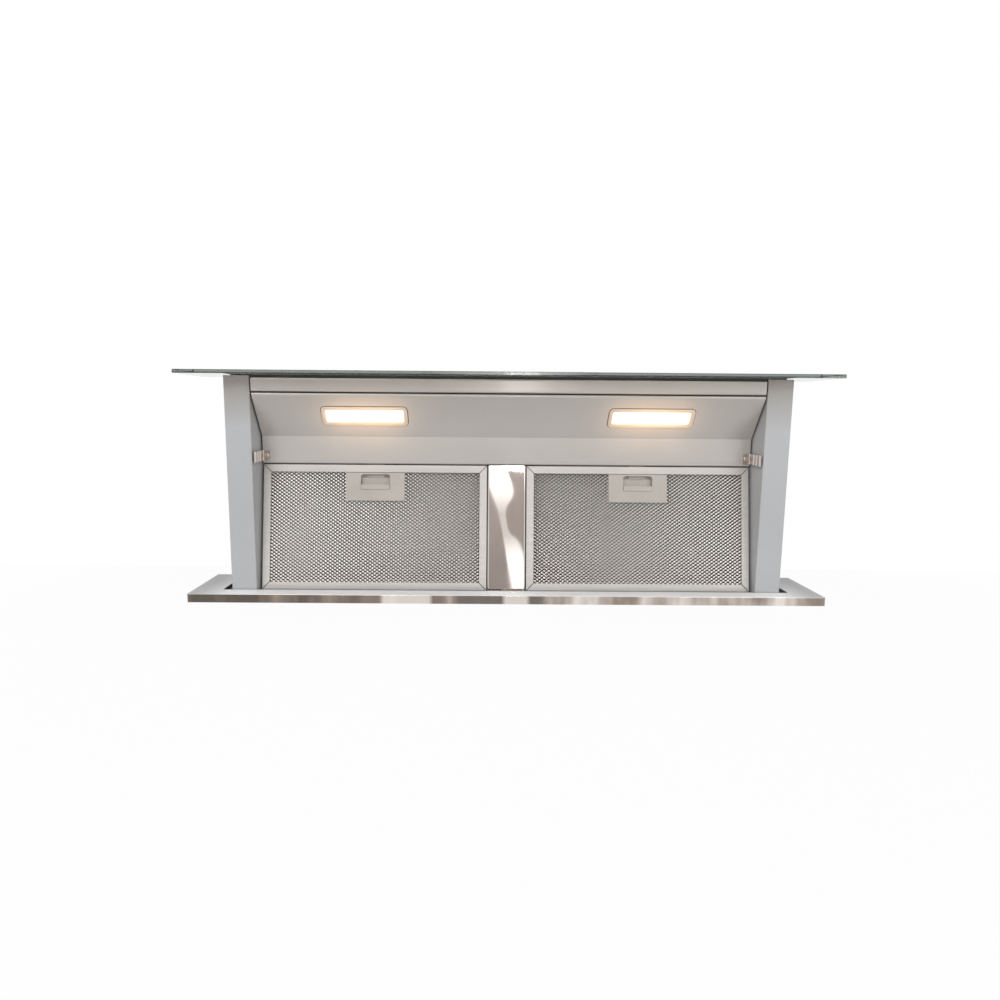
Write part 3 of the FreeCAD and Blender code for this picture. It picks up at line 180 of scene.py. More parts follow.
class FinishSettings(bpy.types.PropertyGroup):
    column: colour("Columns", "Silver-grey powder coat", (0.47, 0.475, 0.485))
    panel: colour("Panels", "Warm grey gloss paint", (0.47, 0.445, 0.42))
    handle: colour("Handles", "Moulded warm grey plastic", (0.475, 0.44, 0.40))
    frame: colour("Filter frames", "Satin anodised aluminium", (0.62, 0.595, 0.567))
    net: colour("Filter nets", "Bright slit aluminium", (0.70, 0.66, 0.625))
    steel: colour("Stainless", "Satin stainless sheet", (0.70, 0.70, 0.70))
    glass: colour("Glass", "Tint of the glass through its depth", (0.57, 0.61, 0.585))


class StageSettings(bpy.types.PropertyGroup):
    place_x: length("Camera across", "Camera place along X", -42.4)
    place_y: length("Camera back", "Camera place along Y", -824.8)
    place_z: length("Camera height", "Camera place along Z", 263.0)
    yaw: angle("Yaw", "Camera turn to the right", 0.331)
    pitch: angle("Pitch", "Camera tilt upward", -6.969)
    roll: angle("Roll", "Camera roll", 0.457)
    lens: FloatProperty(name="Lens", description="Focal length", default=20.946, unit="CAMERA")
    shift_x: FloatProperty(name="Shift across", description="Lens shift across", default=0.0194)
    shift_y: FloatProperty(name="Shift up", description="Lens shift upward", default=-0.0170)
    key: amount("Key", "Power of the main soft light, in watts", 33.0)
    fill: amount("Fill", "Power of the second soft light, in watts", 17.0)
    overhead: amount("Overhead", "Power of the overhead light, in watts", 10.0)
    room: amount("Room", "Strength of the even room light", 0.45)


# Mesh helpers

def of_kind(parts, kind):
    """Only the vertices, edges or faces among parts of a mesh."""
    return [part for part in parts if isinstance(part, kind)]


def block(bm, low, high):
    """Square block between two corners."""
    low, high = Vector(low), Vector(high)
    verts = bmesh.ops.create_cube(bm, size=1.0)["verts"]
    place = Matrix.Translation((low + high) / 2) @ Matrix.Diagonal(list(high - low) + [1.0])
    bmesh.ops.transform(bm, matrix=place, verts=verts)


def flat_square(bm, half=0.5):
    """Flat square about the origin. Gives its vertices."""
    return bmesh.ops.create_grid(bm, x_segments=1, y_segments=1, size=half)["verts"]


def upright_face(bm, left, right, foot, head, y=0.0):
    """One upright face that looks forward."""
    verts = flat_square(bm)
    middle = Matrix.Translation(((left + right) / 2, y, (foot + head) / 2))
    size = Matrix.Diagonal((right - left, head - foot, 1.0, 1.0))
    bmesh.ops.transform(bm, matrix=middle @ Matrix.Rotation(math.pi / 2, 4, "X") @ size, verts=verts)
    return verts[0].link_faces[0]


def bevel(bm, parts, width, steps, affect="EDGES", clamp=False):
    """Bevels edges or corners with a number of faces. Gives what was made."""
    return bmesh.ops.bevel(bm, geom=parts, offset=width, offset_type="OFFSET", affect=affect,
                           segments=steps, profile=0.5, clamp_overlap=clamp, material=-1)


def rounded_face(bm, half, reach, corner, y):
    """Upright face about the origin, with round corners."""
    face = upright_face(bm, -half, half, -reach, reach, y)
    made = bevel(bm, list(face.verts), corner, CORNER_STEPS, "VERTICES")
    return made["verts"][0].link_faces[0]


def ring_of(bm, face, width):
    """Leaves only the border of a face, of a given width."""
    ring = bmesh.ops.inset_region(bm, faces=[face], thickness=width, use_boundary=True,
                                  use_even_offset=True)["faces"]
    bmesh.ops.delete(bm, geom=[face], context="FACES_ONLY")
    return ring


def push(bm, faces, move):
    """Extrudes faces and moves what was extruded. Gives the new faces."""
    region = {part for face in faces for part in (face, *face.edges, *face.verts)}
    made = bmesh.ops.extrude_face_region(bm, geom=list(region))["geom"]
    bmesh.ops.translate(bm, vec=Vector(move), verts=of_kind(made, BMVert))
    return of_kind(made, BMFace)


def extend(bm, edges):
    """Extrudes edges. Gives the new vertices and the new open edges."""
    made = bmesh.ops.extrude_edge_only(bm, edges=edges)["geom"]
    return of_kind(made, BMVert), [edge for edge in of_kind(made, BMEdge) if edge.is_boundary]


def slice_at(bm, axis, *places):
    """Cuts every face at some places along an axis."""
    for place in places:
        bmesh.ops.bisect_plane(bm, geom=bm.verts[:] + bm.edges[:] + bm.faces[:],
                               plane_co=axis * place, plane_no=axis)


def square_faces(bm, axis, low, high):
    """Faces square to an axis whose middles lie between two corners."""
    found = []
    for face in bm.faces:
        middle = face.calc_center_median()
        inside = all(start < place < end for start, place, end in zip(low, middle, high))
        if inside and abs(face.normal.dot(axis)) > 0.5:
            found.append(face)
    return found


def soften(bm, width):
    """Rounds every sharp edge."""
    bmesh.ops.recalc_face_normals(bm, faces=bm.faces)
    sharp = [edge for edge in bm.edges if edge.is_manifold and edge.calc_face_angle() > SHARP_ANGLE]
    bevel(bm, sharp, width, EDGE_STEPS, clamp=True)


def mesh_object(bm, name, material):
    """Object of a finished mesh."""
    mesh = bpy.data.meshes.new(name)
    bm.to_mesh(mesh)
    bm.free()
    mesh.materials.append(material)
    made = bpy.data.objects.new(name, mesh)
    bpy.context.scene.collection.objects.link(made)
    return made


def piece(bm, name, body, slot, replaced, place, mirror, smooth=True):
    """Makes the object of a piece: its place, finish, body and the nodes that it stands for."""
    bmesh.ops.transform(bm, matrix=place, verts=bm.verts)
    if mirror:
        bmesh.ops.scale(bm, vec=(-1.0, 1.0, 1.0), verts=bm.verts)
    bmesh.ops.remove_doubles(bm, verts=bm.verts, dist=MERGE_WITHIN)
    bmesh.ops.recalc_face_normals(bm, faces=bm.faces)
    made = mesh_object(bm, name, finish(slot))
    if smooth:
        made.data.shade_smooth()
        made.data.set_sharp_from_angle(angle=SMOOTH_ANGLE)
    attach(made, body)
    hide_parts(*replaced)
    return made


def even_shading(made):
    """Keeps flat faces flat beside rounded edges."""
    made.modifiers.new("Even shading", "WEIGHTED_NORMAL").keep_sharp = True


def filter_place(settings):
    """Filter plane and the filters' length, from the box that the leaning right frame fills.

    X runs across, Y back from the filter's front and Z up along it.
    """
    low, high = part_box("right_filter_frame")
    depth, height = high.y - low.y, high.z - low.z
    lean = 0.0
    for _ in range(LEAN_PASSES):
        long_side = (height - settings.thickness * math.sin(lean)) / math.cos(lean)
        lean = math.asin((depth - settings.thickness * math.cos(lean)) / long_side)
    foot = low.z + settings.thickness * math.sin(lean)
    return Matrix.Translation((0, low.y, foot)) @ Matrix.Rotation(-lean, 4, "X"), long_side


def lamp_place(settings):
    """Lamp plane at the right lamp: the panel's face is Y = 0 and the lamp's middle the origin."""
    low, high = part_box("right_lamp_lens")
    back = settings.lens_recess + settings.lens_thickness / 2
    return (Matrix.Translation((low + high) / 2) @ Matrix.Rotation(settings.slope, 4, "X")
            @ Matrix.Translation((0, -back, 0)))


# Finishes

def tone(value, level=1.0):
    """Opaque colour, lightened or darkened."""
    return tuple(min(1.0, part * level) for part in value[:3]) + (1.0,)


def colours():
    """Colours that the user has set."""
    return bpy.context.scene.hood_finishes


class Nodes:
    """A node tree, with short calls for the nodes that the finishes and the room share."""

    def __init__(self, owner):
        owner.use_nodes = True
        self.tree = owner.node_tree

    def give(self, socket, value):
        """Feeds a socket from an output, or sets it to a number, a vector or a colour."""
        if isinstance(value, bpy.types.NodeSocket):
            self.tree.links.new(value, socket)
        else:
            socket.default_value = tone(value) if socket.type == "RGBA" else value

    def add(self, kind, inputs=None, **settings):
        """New node with its settings, and with what its inputs are given, by their name or number."""
        node = self.tree.nodes.new(kind)
        for name, value in settings.items():
            setattr(node, name, value)
        for name, value in (inputs or {}).items():
            self.give(node.inputs[name], value)
        return node

    def math(self, operation, first, second=0.0):
        """Sum, product or other result of one or two values."""
        return self.add("ShaderNodeMath", {0: first, 1: second}, operation=operation).outputs["Value"]

    def mix(self, share, first, second):
        """Shader that is the second one where the share is 1."""
        return self.add("ShaderNodeMixShader", {0: share, 1: first, 2: second}).outputs["Shader"]

    def seen(self):
        """1 for what the camera sees, directly or in glossy and clear surfaces, and 0 for other light."""
        ray = self.add("ShaderNodeLightPath").outputs
        either = self.math("MAXIMUM", ray["Is Camera Ray"], ray["Is Glossy Ray"])
        return self.math("MAXIMUM", either, ray["Is Transmission Ray"])


class Finish(Nodes):
    """A material, with short calls for the patterns and masks that the finishes share."""

    def __init__(self, name):
        self.material = bpy.data.materials.new(name)
        super().__init__(self.material)
        self.shader = self.tree.nodes["Principled BSDF"]
        self.output = self.tree.nodes["Material Output"]
        self.place = self.add("ShaderNodeTexCoord").outputs["Object"]

    def set(self, **values):
        """Gives the shader's own sockets numbers, colours or outputs. Underscores stand for spaces."""
        for name, value in values.items():
            self.give(self.shader.inputs[name.replace("_", " ")], value)

    def show(self, shader):
        """Shows another shader than the material's own."""
        self.give(self.output.inputs["Surface"], shader)

    def noise(self, scale, detail=2.0, stretch=(1, 1, 1), roughness=0.5):
        """Soft noise, finer along an axis that is stretched."""
        mapped = self.add("ShaderNodeMapping", {"Vector": self.place, "Scale": stretch}).outputs["Vector"]
        inputs = {"Vector": mapped, "Scale": scale, "Detail": detail, "Roughness": roughness}
        return self.add("ShaderNodeTexNoise", inputs).outputs[0]

    def cells(self, scale, output):
        """Irregular cells: the colour of each, or the distance from its middle."""
        return self.add("ShaderNodeTexVoronoi", {"Vector": self.place, "Scale": scale}).outputs[output]

    def spread(self, value, low, high, start=0.3, end=0.7):
        """Goes from low to high as a value goes from start to end."""
        inputs = {"Value": value, "From Min": start, "From Max": end, "To Min": low, "To Max": high}
        return self.add("ShaderNodeMapRange", inputs).outputs["Result"]

    def ramp(self, value, *stops):
        """Colour that runs through (value, colour) stops."""
        node = self.add("ShaderNodeValToRGB", {"Fac": value})
        marks = node.color_ramp.elements
        for position, shade in stops[1:-1]:
            marks.new(position).color = tone(shade)
        for mark, (position, shade) in ((marks[0], stops[0]), (marks[len(marks) - 1], stops[-1])):
            mark.position, mark.color = position, tone(shade)
        return node.outputs["Color"]

    def tint(self, value, dark, light, start=0.3, end=0.7):
        """Colour between two tones as a value goes from start to end."""
        return self.ramp(value, (start, dark), (end, light))

    def cover(self, mask, under, over):
        """Colour that lies over another where the mask is 1."""
        return self.add("ShaderNodeMix", {0: mask, 6: under, 7: over}, data_type="RGBA").outputs[2]

    def lay_over(self, mask, over):
        """Puts a colour over the base colour where the mask is 1."""
        shown = self.shader.inputs["Base Color"].links[0].from_socket
        self.set(Base_Color=self.cover(mask, shown, over))

    def marked(self, name):
        """Mask that the mesh carries as an attribute."""
        return self.add("ShaderNodeAttribute", attribute_name=name).outputs["Fac"]

    def across(self, axis):
        """Place along an axis."""
        return self.add("ShaderNodeSeparateXYZ", {"Vector": self.place}).outputs[axis]

    def facing(self, axis):
        """Part of the surface normal along an axis."""
        normal = self.add("ShaderNodeNewGeometry").outputs["Normal"]
        return self.add("ShaderNodeSeparateXYZ", {"Vector": normal}).outputs[axis]

    def rounded_normal(self, radius):
        """Normal that turns over the edges as if they were round."""
        return self.add("ShaderNodeBevel", {"Radius": radius}, samples=4).outputs["Normal"]

    def worn(self, base, bare, radius, share, reach=0.12):
        """Base colour, with some of a bare colour along the edges."""
        plain = self.add("ShaderNodeNewGeometry").outputs["True Normal"]
        alike = self.add("ShaderNodeVectorMath", {0: self.rounded_normal(radius), 1: plain},
                         operation="DOT_PRODUCT").outputs["Value"]
        edges = self.spread(alike, 1.0, 0.0, start=1.0 - reach, end=1.0)
        return self.cover(self.math("MULTIPLY", edges, share), base, bare)

    def bump(self, height, strength, depth, edge=None):
        """Relief from a height, on edges that are rounded by a radius."""
        inputs = {"Height": height, "Strength": strength, "Distance": depth}
        if edge:
            inputs["Normal"] = self.rounded_normal(edge)
        self.set(Normal=self.add("ShaderNodeBump", inputs).outputs["Normal"])


def painted(name, value, roughness, scale, depth, film=0.0):
    """Sprayed paint: faint clouding, orange peel, lighter edges and a warm painted shade near the top,
    under the glass, as strong as the film share.
    """
    paint = Finish(name)
    cloud = paint.noise(9.0, detail=3.0)
    base = paint.tint(cloud, tone(value, 0.94), tone(value, 1.06), start=0.1, end=0.9)
    # Painted shade: a warm, streaky darkening near the top, under the glass; film is its strength
    if film:
        rise = paint.spread(paint.across("Z"), 0.0, film, start=0.24, end=0.3)
        top_shade_streaks = paint.noise(30.0, detail=3.0, stretch=(1.0, 1.0, 0.15))
        top_shade_mask = paint.math("MULTIPLY", rise, paint.spread(top_shade_streaks, 0.8, 1.2, start=0.1, end=0.9))
        top_shade_colour = [part * share for part, share in zip(value, (0.62, 0.555, 0.48))]
        base = paint.cover(top_shade_mask, base, top_shade_colour)
    grain = paint.noise(scale)
    smudge = paint.noise(28.0, detail=4.0, stretch=(1.0, 1.0, 0.5))
    paint.set(Base_Color=paint.worn(base, tone(value, 1.35), radius=0.0006, share=0.25),
              Roughness=paint.spread(smudge, roughness - 0.06, roughness + 0.08, start=0.1, end=0.9))
    paint.bump(grain, strength=0.12, depth=depth, edge=0.0004)
    return paint


def column_paint():
    # film=0.9 paints shade near the tops of the columns
    paint = painted("column_paint", colours().column, roughness=0.42, scale=1400.0, depth=0.00006, film=0.9)
    paint.set(Metallic=0.15, Specular_IOR_Level=0.45)
    return paint.material


def panel_paint():
    # film=0.35 paints shade near the tops of the panels
    paint = painted("panel_paint", colours().panel, roughness=0.36, scale=420.0, depth=0.00004, film=0.35)
    paint.set(Metallic=0.25, Coat_Weight=0.4, Coat_Roughness=0.1)
    return paint.material


def motor_steel():
    paint = painted("motor_steel", (0.10, 0.105, 0.11), roughness=0.35, scale=700.0, depth=0.00008)
    paint.set(Metallic=0.4)
    return paint.material


def flange_top(steel, brush):
    """Top of the flange, with painted light in the middle of its front and painted shade towards its ends
    and back.
    """
    value = colours().steel
    # Painted light at the front middle, painted shade at the ends and back
    bright = steel.tint(brush, tone(value, 1.3), tone(value, 1.4))
    dull = steel.tint(brush, tone(value, 0.54), tone(value, 0.6))
    from_middle = steel.math("ABSOLUTE", steel.across("X"))
    ends = steel.spread(from_middle, 0.0, 0.85, start=0.37, end=0.425)
    back = steel.spread(steel.across("Y"), 0.0, 0.5, start=-0.05, end=0.03)
    top = steel.cover(steel.math("MAXIMUM", ends, back), bright, dull)
    # Darkest painted shade at the back of each end
    return steel.cover(steel.math("MULTIPLY", back, ends), top, tone(value, 0.42))


def flange_lip(steel):
    """Front lip of the flange, with painted reflections: blurred patches, lighter to the right, and three
    patches with an edge.
    """
    light, middle, dark = (0.80, 0.74, 0.69), (0.32, 0.26, 0.22), (0.13, 0.11, 0.095)
    shade = (0.16, 0.145, 0.13)
    blur = 0.003
    along = steel.across("X")
    patches = steel.noise(15.0, detail=3.0, stretch=(1.0, 0.0, 0.25), roughness=0.6)
    run = steel.spread(along, -0.24, 0.05, start=-0.44, end=0.2)
    lip = steel.ramp(steel.math("ADD", patches, run), (0.25, dark), (0.46, middle), (0.66, light))
    # Painted reflections: two light windows with a dark band between them
    for place, half, over in ((-0.139, 0.034, light), (-0.009, 0.06, shade), (0.012, 0.017, light)):
        away = steel.math("ABSOLUTE", steel.math("SUBTRACT", along, place))
        patch = steel.spread(away, 0.8, 0.0, start=half - blur, end=half + blur)
        lip = steel.cover(patch, lip, over)
    return lip


def flange_steel():
    """Satin stainless, brushed along its length on top and polished on its front lip."""
    steel = Finish("flange_steel")
    brush = steel.noise(60.0, detail=4.0, stretch=(0.05, 14.0, 14.0), roughness=0.65)
    flat = steel.spread(steel.facing("Z"), 0.0, 1.0, start=0.35, end=0.75)
    # Painted light and shade on the top, and painted reflections on the lip
    base = steel.cover(flat, flange_lip(steel), flange_top(steel, brush))
    satin = steel.math("MULTIPLY", flat, steel.spread(brush, 0.34, 0.48))
    steel.set(Base_Color=steel.worn(base, tone(colours().steel, 1.25), radius=0.0008, share=0.6),
              Roughness=steel.math("ADD", satin, 0.08),
              Metallic=steel.spread(flat, 1.0, 0.1, start=0.0, end=1.0),
              Specular_IOR_Level=0.3)
    steel.bump(brush, strength=0.12, depth=0.00003, edge=0.0004)
    return steel.material


def polished_steel():
    """Mirror polished stainless with faint wipe marks and a slight ripple."""
    steel = Finish("polished_steel")
    wipe = steel.noise(40.0, detail=5.0, stretch=(1.0, 1.0, 0.35))
    ripple = steel.noise(16.0, detail=1.0, stretch=(1.0, 1.0, 0.5))
    steel.set(Base_Color=steel.tint(wipe, (0.60, 0.57, 0.545), (0.66, 0.63, 0.61)),
              Roughness=steel.spread(wipe, 0.02, 0.05), Metallic=1.0)
    steel.bump(ripple, strength=0.1, depth=0.0003)
    return steel.material


def clear_glass():
    """Clear float glass: green through its depth, with a faint film on its faces."""
    glass = Finish("clear_glass")
    film = glass.noise(24.0, detail=4.0)
    glass.set(Base_Color=glass.tint(film, (0.85, 0.87, 0.86), (0.90, 0.915, 0.905)),
              Roughness=glass.spread(film, 0.015, 0.05), IOR=1.5, Transmission_Weight=1.0)
    depth = glass.add("ShaderNodeVolumeAbsorption", {"Color": colours().glass, "Density": 30.0})
    glass.give(glass.output.inputs["Volume"], depth.outputs["Volume"])
    glass.bump(film, strength=0.02, depth=0.00002)
    return glass.material


def soft_rubber(name, dark, light, scale, depth):
    """Rubber or foam with an open grain and pale dust."""
    rubber = Finish(name)
    grain = rubber.noise(scale, detail=5.0, roughness=0.7)
    dust = rubber.spread(rubber.noise(30.0, detail=4.0), 0.0, 0.3, start=0.4, end=0.9)
    rubber.set(Base_Color=rubber.cover(dust, rubber.tint(grain, dark, light), tone(light, 1.8)),
               Roughness=rubber.spread(grain, 0.6, 0.85))
    rubber.bump(grain, strength=0.5, depth=depth, edge=0.0004)
    return rubber.material


def black_rubber():
    dark, light = (0.022, 0.017, 0.013), (0.044, 0.036, 0.029)
    return soft_rubber("black_rubber", dark, light, scale=700.0, depth=0.0001)


def grey_foam():
    dark, light = (0.09, 0.09, 0.095), (0.2, 0.2, 0.21)
    return soft_rubber("grey_foam", dark, light, scale=420.0, depth=0.0006)


def moulded(name, value, roughness, scale=1100.0, depth=0.00005):
    """Moulded plastic with a spark-eroded texture and rubbed edges."""
    plastic = Finish(name)
    grain = plastic.noise(scale, detail=3.0)
    base = plastic.tint(plastic.noise(22.0, detail=3.0), tone(value, 0.95), tone(value, 1.05))
    plastic.set(Base_Color=plastic.worn(base, tone(value, 1.3), radius=0.0008, share=0.35),
                Roughness=plastic.spread(grain, roughness - 0.06, roughness + 0.08))
    plastic.bump(grain, strength=0.3, depth=depth, edge=0.0003)
    return plastic


def bezel_plastic():
    """Warm grey plastic, and black where the dark attribute marks the low lip round it: painted shade of
    the gap between rim and panel.
    """
    plastic = moulded("bezel_plastic", (0.50, 0.44, 0.385), roughness=0.34)
    plastic.lay_over(plastic.marked("dark"), (0.08, 0.056, 0.042))
    return plastic.material


def handle_plastic():
    return moulded("handle_plastic", colours().handle, roughness=0.46).material


def nylon():
    return moulded("nylon", (0.72, 0.72, 0.66), roughness=0.42, scale=600.0).material


def black_plastic():
    black = (0.035, 0.035, 0.038)
    return moulded("black_plastic", black, roughness=0.5, scale=1500.0, depth=0.0001).material


def lamp_lens():
    """Frosted lens, lit from behind: near white in the middle and warmer towards its rim."""
    lens, lamps = Finish("lamp_lens"), bpy.context.scene.hood_lamps
    frost = lens.noise(1600.0)
    warm = [part * level for part, level in zip(lamps.light, (0.62, 0.52, 0.40))]
    lens.set(Base_Color=lens.tint(frost, (0.90, 0.86, 0.78), (0.96, 0.93, 0.87)),
             Roughness=lens.spread(frost, 0.45, 0.6),
             Emission_Color=lens.tint(lens.marked("glow"), warm, lamps.light, start=0.0, end=0.8),
             Emission_Strength=lamps.strength)
    lens.bump(frost, strength=0.2, depth=0.00004)
    return lens.material


def brushed(name, value, roughness, stretch, metallic=1.0):
    """Metal with fine lines along one direction, a few smudges and bright edges."""
    metal = Finish(name)
    lines = metal.noise(70.0, detail=4.0, stretch=stretch, roughness=0.6)
    smudge = metal.spread(metal.noise(20.0, detail=3.0), -0.03, 0.05)
    base = metal.tint(lines, tone(value, 0.93), tone(value, 1.05))
    metal.set(Base_Color=metal.worn(base, tone(value, 1.3), radius=0.0007, share=0.6),
              Roughness=metal.math("ADD", metal.spread(lines, roughness - 0.05, roughness + 0.05), smudge),
              Metallic=metallic)
    metal.bump(lines, strength=0.12, depth=0.00003, edge=0.0003)
    return metal


def filter_aluminium():
    """Satin aluminium with painted shade near the top, and grime in the lines that the dark attribute
    marks.
    """
    frame_top_shade, grime = (0.30, 0.265, 0.23), (0.09, 0.082, 0.075)
    metal = brushed("filter_aluminium", colours().frame, roughness=0.46, stretch=(0.2, 8.0, 3.0),
                    metallic=0.3)
    # Painted shade: darker and warmer towards the top of each frame
    metal.lay_over(metal.spread(metal.across("Z"), 0.0, 0.22, start=0.06, end=0.18), frame_top_shade)
    metal.lay_over(metal.marked("dark"), grime)
    return metal.material


def mesh_aluminium():
    """Bright slit strips in front, and near black, dull ones behind: painted shade for the light lost
    between the layers.
    """
    metal = Finish("mesh_aluminium")
    lines = metal.noise(160.0, detail=4.0, stretch=(1.0, 4.0, 4.0), roughness=0.6)
    front = metal.tint(lines, tone(colours().net, 0.93), tone(colours().net, 1.05))
    behind = metal.marked("layer")
    # Painted shade: the layer behind is near black
    metal.set(Base_Color=metal.cover(behind, front, (0.02, 0.018, 0.016)),
              Roughness=metal.spread(lines, 0.28, 0.4),
              Metallic=metal.spread(behind, 1.0, 0.0, start=0.0, end=1.0))
    metal.bump(lines, strength=0.12, depth=0.00003)
    return metal.material


def spring_steel():
    return brushed("spring_steel", (0.56, 0.50, 0.46), roughness=0.2, stretch=(1.0, 1.0, 12.0)).material


def bright_steel():
    return brushed("bright_steel", (0.62, 0.62, 0.62), roughness=0.22, stretch=(1.0, 1.0, 9.0)).material


def tube_aluminium():
    return brushed("tube_aluminium", (0.66, 0.67, 0.68), roughness=0.33, stretch=(12.0, 12.0, 0.2)).material


def heat_sink():
    return brushed("heat_sink", (0.55, 0.56, 0.57), roughness=0.4, stretch=(0.3, 9.0, 9.0)).material


def zinc_sheet():
    """Galvanised sheet: soft spangle, dull patches and bright cut edges."""
    zinc = Finish("zinc_sheet")
    leaf = zinc.add("ShaderNodeSeparateColor", {"Color": zinc.cells(140.0, "Color")}).outputs["Red"]
    flake = zinc.noise(55.0, detail=4.0)
    spangle = zinc.tint(leaf, (0.42, 0.44, 0.46), (0.54, 0.56, 0.58), start=0.0, end=1.0)
    base = zinc.cover(zinc.spread(flake, 0.0, 0.6, start=0.45), spangle, (0.43, 0.44, 0.45))
    zinc.set(Base_Color=zinc.worn(base, (0.72, 0.73, 0.74), radius=0.0008, share=0.7),
             Roughness=zinc.spread(leaf, 0.34, 0.52, start=0.0, end=1.0), Metallic=0.9)
    zinc.bump(flake, strength=0.08, depth=0.0001, edge=0.0004)
    return zinc.material


def circuit_board():
    """Solder mask over copper tracks, with bright pads."""
    board = Finish("circuit_board")
    upright = {"Vector": board.place, "Rotation": (math.pi / 2, 0.0, 0.0)}
    tracks = board.add("ShaderNodeTexBrick", {
        "Vector": board.add("ShaderNodeMapping", upright).outputs["Vector"],
        "Scale": 55.0, "Mortar Size": 0.03,
        "Color1": (0.016, 0.10, 0.04), "Color2": (0.02, 0.13, 0.05), "Mortar": (0.05, 0.24, 0.09),
    }).outputs
    pads = board.spread(board.cells(260.0, "Distance"), 1.0, 0.0, start=0.1, end=0.16)
    board.set(Base_Color=board.cover(pads, tracks["Color"], (0.62, 0.60, 0.55)),
              Roughness=board.spread(pads, 0.4, 0.25, start=0.0, end=1.0))
    board.bump(tracks["Fac"], strength=0.3, depth=0.00005, edge=0.0003)
    return board.material


FINISHES = {make.__name__: make for make in (
    flange_steel, polished_steel, clear_glass, black_rubber, grey_foam, column_paint, panel_paint,
    bezel_plastic, lamp_lens, heat_sink, filter_aluminium, mesh_aluminium, handle_plastic, spring_steel,
    zinc_sheet, bright_steel, tube_aluminium, nylon, black_plastic, motor_steel, circuit_board,
)}


@functools.cache
def finish(slot):
    """Material of a slot, made at its first use."""
    return FINISHES[slot]()


def dress(*names):
    """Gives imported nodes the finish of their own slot."""
    for name in names:
        for place in frame["nodes"][name].material_slots:
            place.material = finish(place.name.split(".")[0])


def both(*names):
    return [side + "_" + name for name in names for side in SIDES]


# Pieces

class HOOD_OT_flange(bpy.types.Operator):
    """Finishes the worktop flange and its seal"""
    bl_idname = "hood.flange"
    bl_label = "Worktop flange"

    def execute(self, context):
        dress("worktop_flange", "flange_seal")
        return {"FINISHED"}


class HOOD_OT_glass(bpy.types.Operator):
    """Finishes the glass top, its seal and the touch board under it"""
    bl_idname = "hood.glass"
    bl_label = "Glass top"

    def execute(self, context):
        dress("glass_top", "glass_seal", "touch_board")
        return {"FINISHED"}


class HOOD_OT_carriage(bpy.types.Operator):
    """Finishes the columns and the folded panels of the rising carriage"""
    bl_idname = "hood.carriage"
    bl_label = "Rising carriage"

    def execute(self, context):
        dress(*both("column"))
        dress("carriage_back_panel", "top_fascia", "lamp_panel", "panel_brackets", "filter_sill")
        return {"FINISHED"}


def lamp_rim(settings):
    """Moulded rim: a flat ring with round corners, on a low lip whose dark colour is painted shade of the
    gap between rim and panel.
    """
    bm = bmesh.new()
    dark = bm.verts.layers.float.new("dark")
    half, reach, lip = settings.width / 2, settings.height / 2, settings.lip
    # Low lip round the rim, marked dark below: painted shade of the gap between rim and panel
    seal = rounded_face(bm, half, reach, settings.corner, -settings.lip_height)
    push(bm, ring_of(bm, seal, 2 * lip), (0, settings.lip_height + settings.depth / 2, 0))
    for vert in bm.verts:
        vert[dark] = 1.0
    face = rounded_face(bm, half - lip, reach - lip, settings.corner - lip, -settings.proud)
    push(bm, ring_of(bm, face, settings.rim - lip), (0, settings.proud + settings.depth, 0))
    soften(bm, settings.edge)
    return bm


# Crown of a lens, in steps from its rim: way in, rise and share of the full glow
LENS_CROWN = ((0.0008, 0.0004, 0.3), (0.002, 0.0002, 0.8), (0.003, 0.0001, 1.0))


def lamp_glass(settings):
    """Lens with a low crown. The glow attribute rises from its rim to its middle."""
    bm = bmesh.new()
    glow = bm.verts.layers.float.new("glow")
    inset = settings.rim + settings.lens_gap
    half, reach = settings.width / 2 - inset, settings.height / 2 - inset
    back = settings.lens_recess + settings.lens_thickness
    face = rounded_face(bm, half, reach, settings.lens_corner, back)
    crown = push(bm, [face], (0, -settings.lens_thickness, 0))
    for step, rise, level in LENS_CROWN:
        crown = push(bm, crown, (0, -rise, 0))
        half, reach = half - step, reach - step
        share = (half / (half + step), 1.0, reach / (reach + step))
        bmesh.ops.scale(bm, vec=share, verts=crown[0].verts)
        for vert in crown[0].verts:
            vert[glow] = level
    return bm


class HOOD_OT_lamps(bpy.types.Operator):
    """Models the lamp rims and lit lenses, and finishes the lamp modules"""
    bl_idname = "hood.lamps"
    bl_label = "Lamps"

    def execute(self, context):
        settings = context.scene.hood_lamps
        place = lamp_place(settings)
        dress("lamp_modules")
        for side, sign in SIDES.items():
            mirror = sign < 0
            piece(lamp_rim(settings), f"{side}_lamp_rim", "carriage", "bezel_plastic",
                  [f"{side}_lamp_bezel"], place, mirror)
            piece(lamp_glass(settings), f"{side}_lamp_glass", "carriage", "lamp_lens",
                  [f"{side}_lamp_lens"], place, mirror)
        return {"FINISHED"}


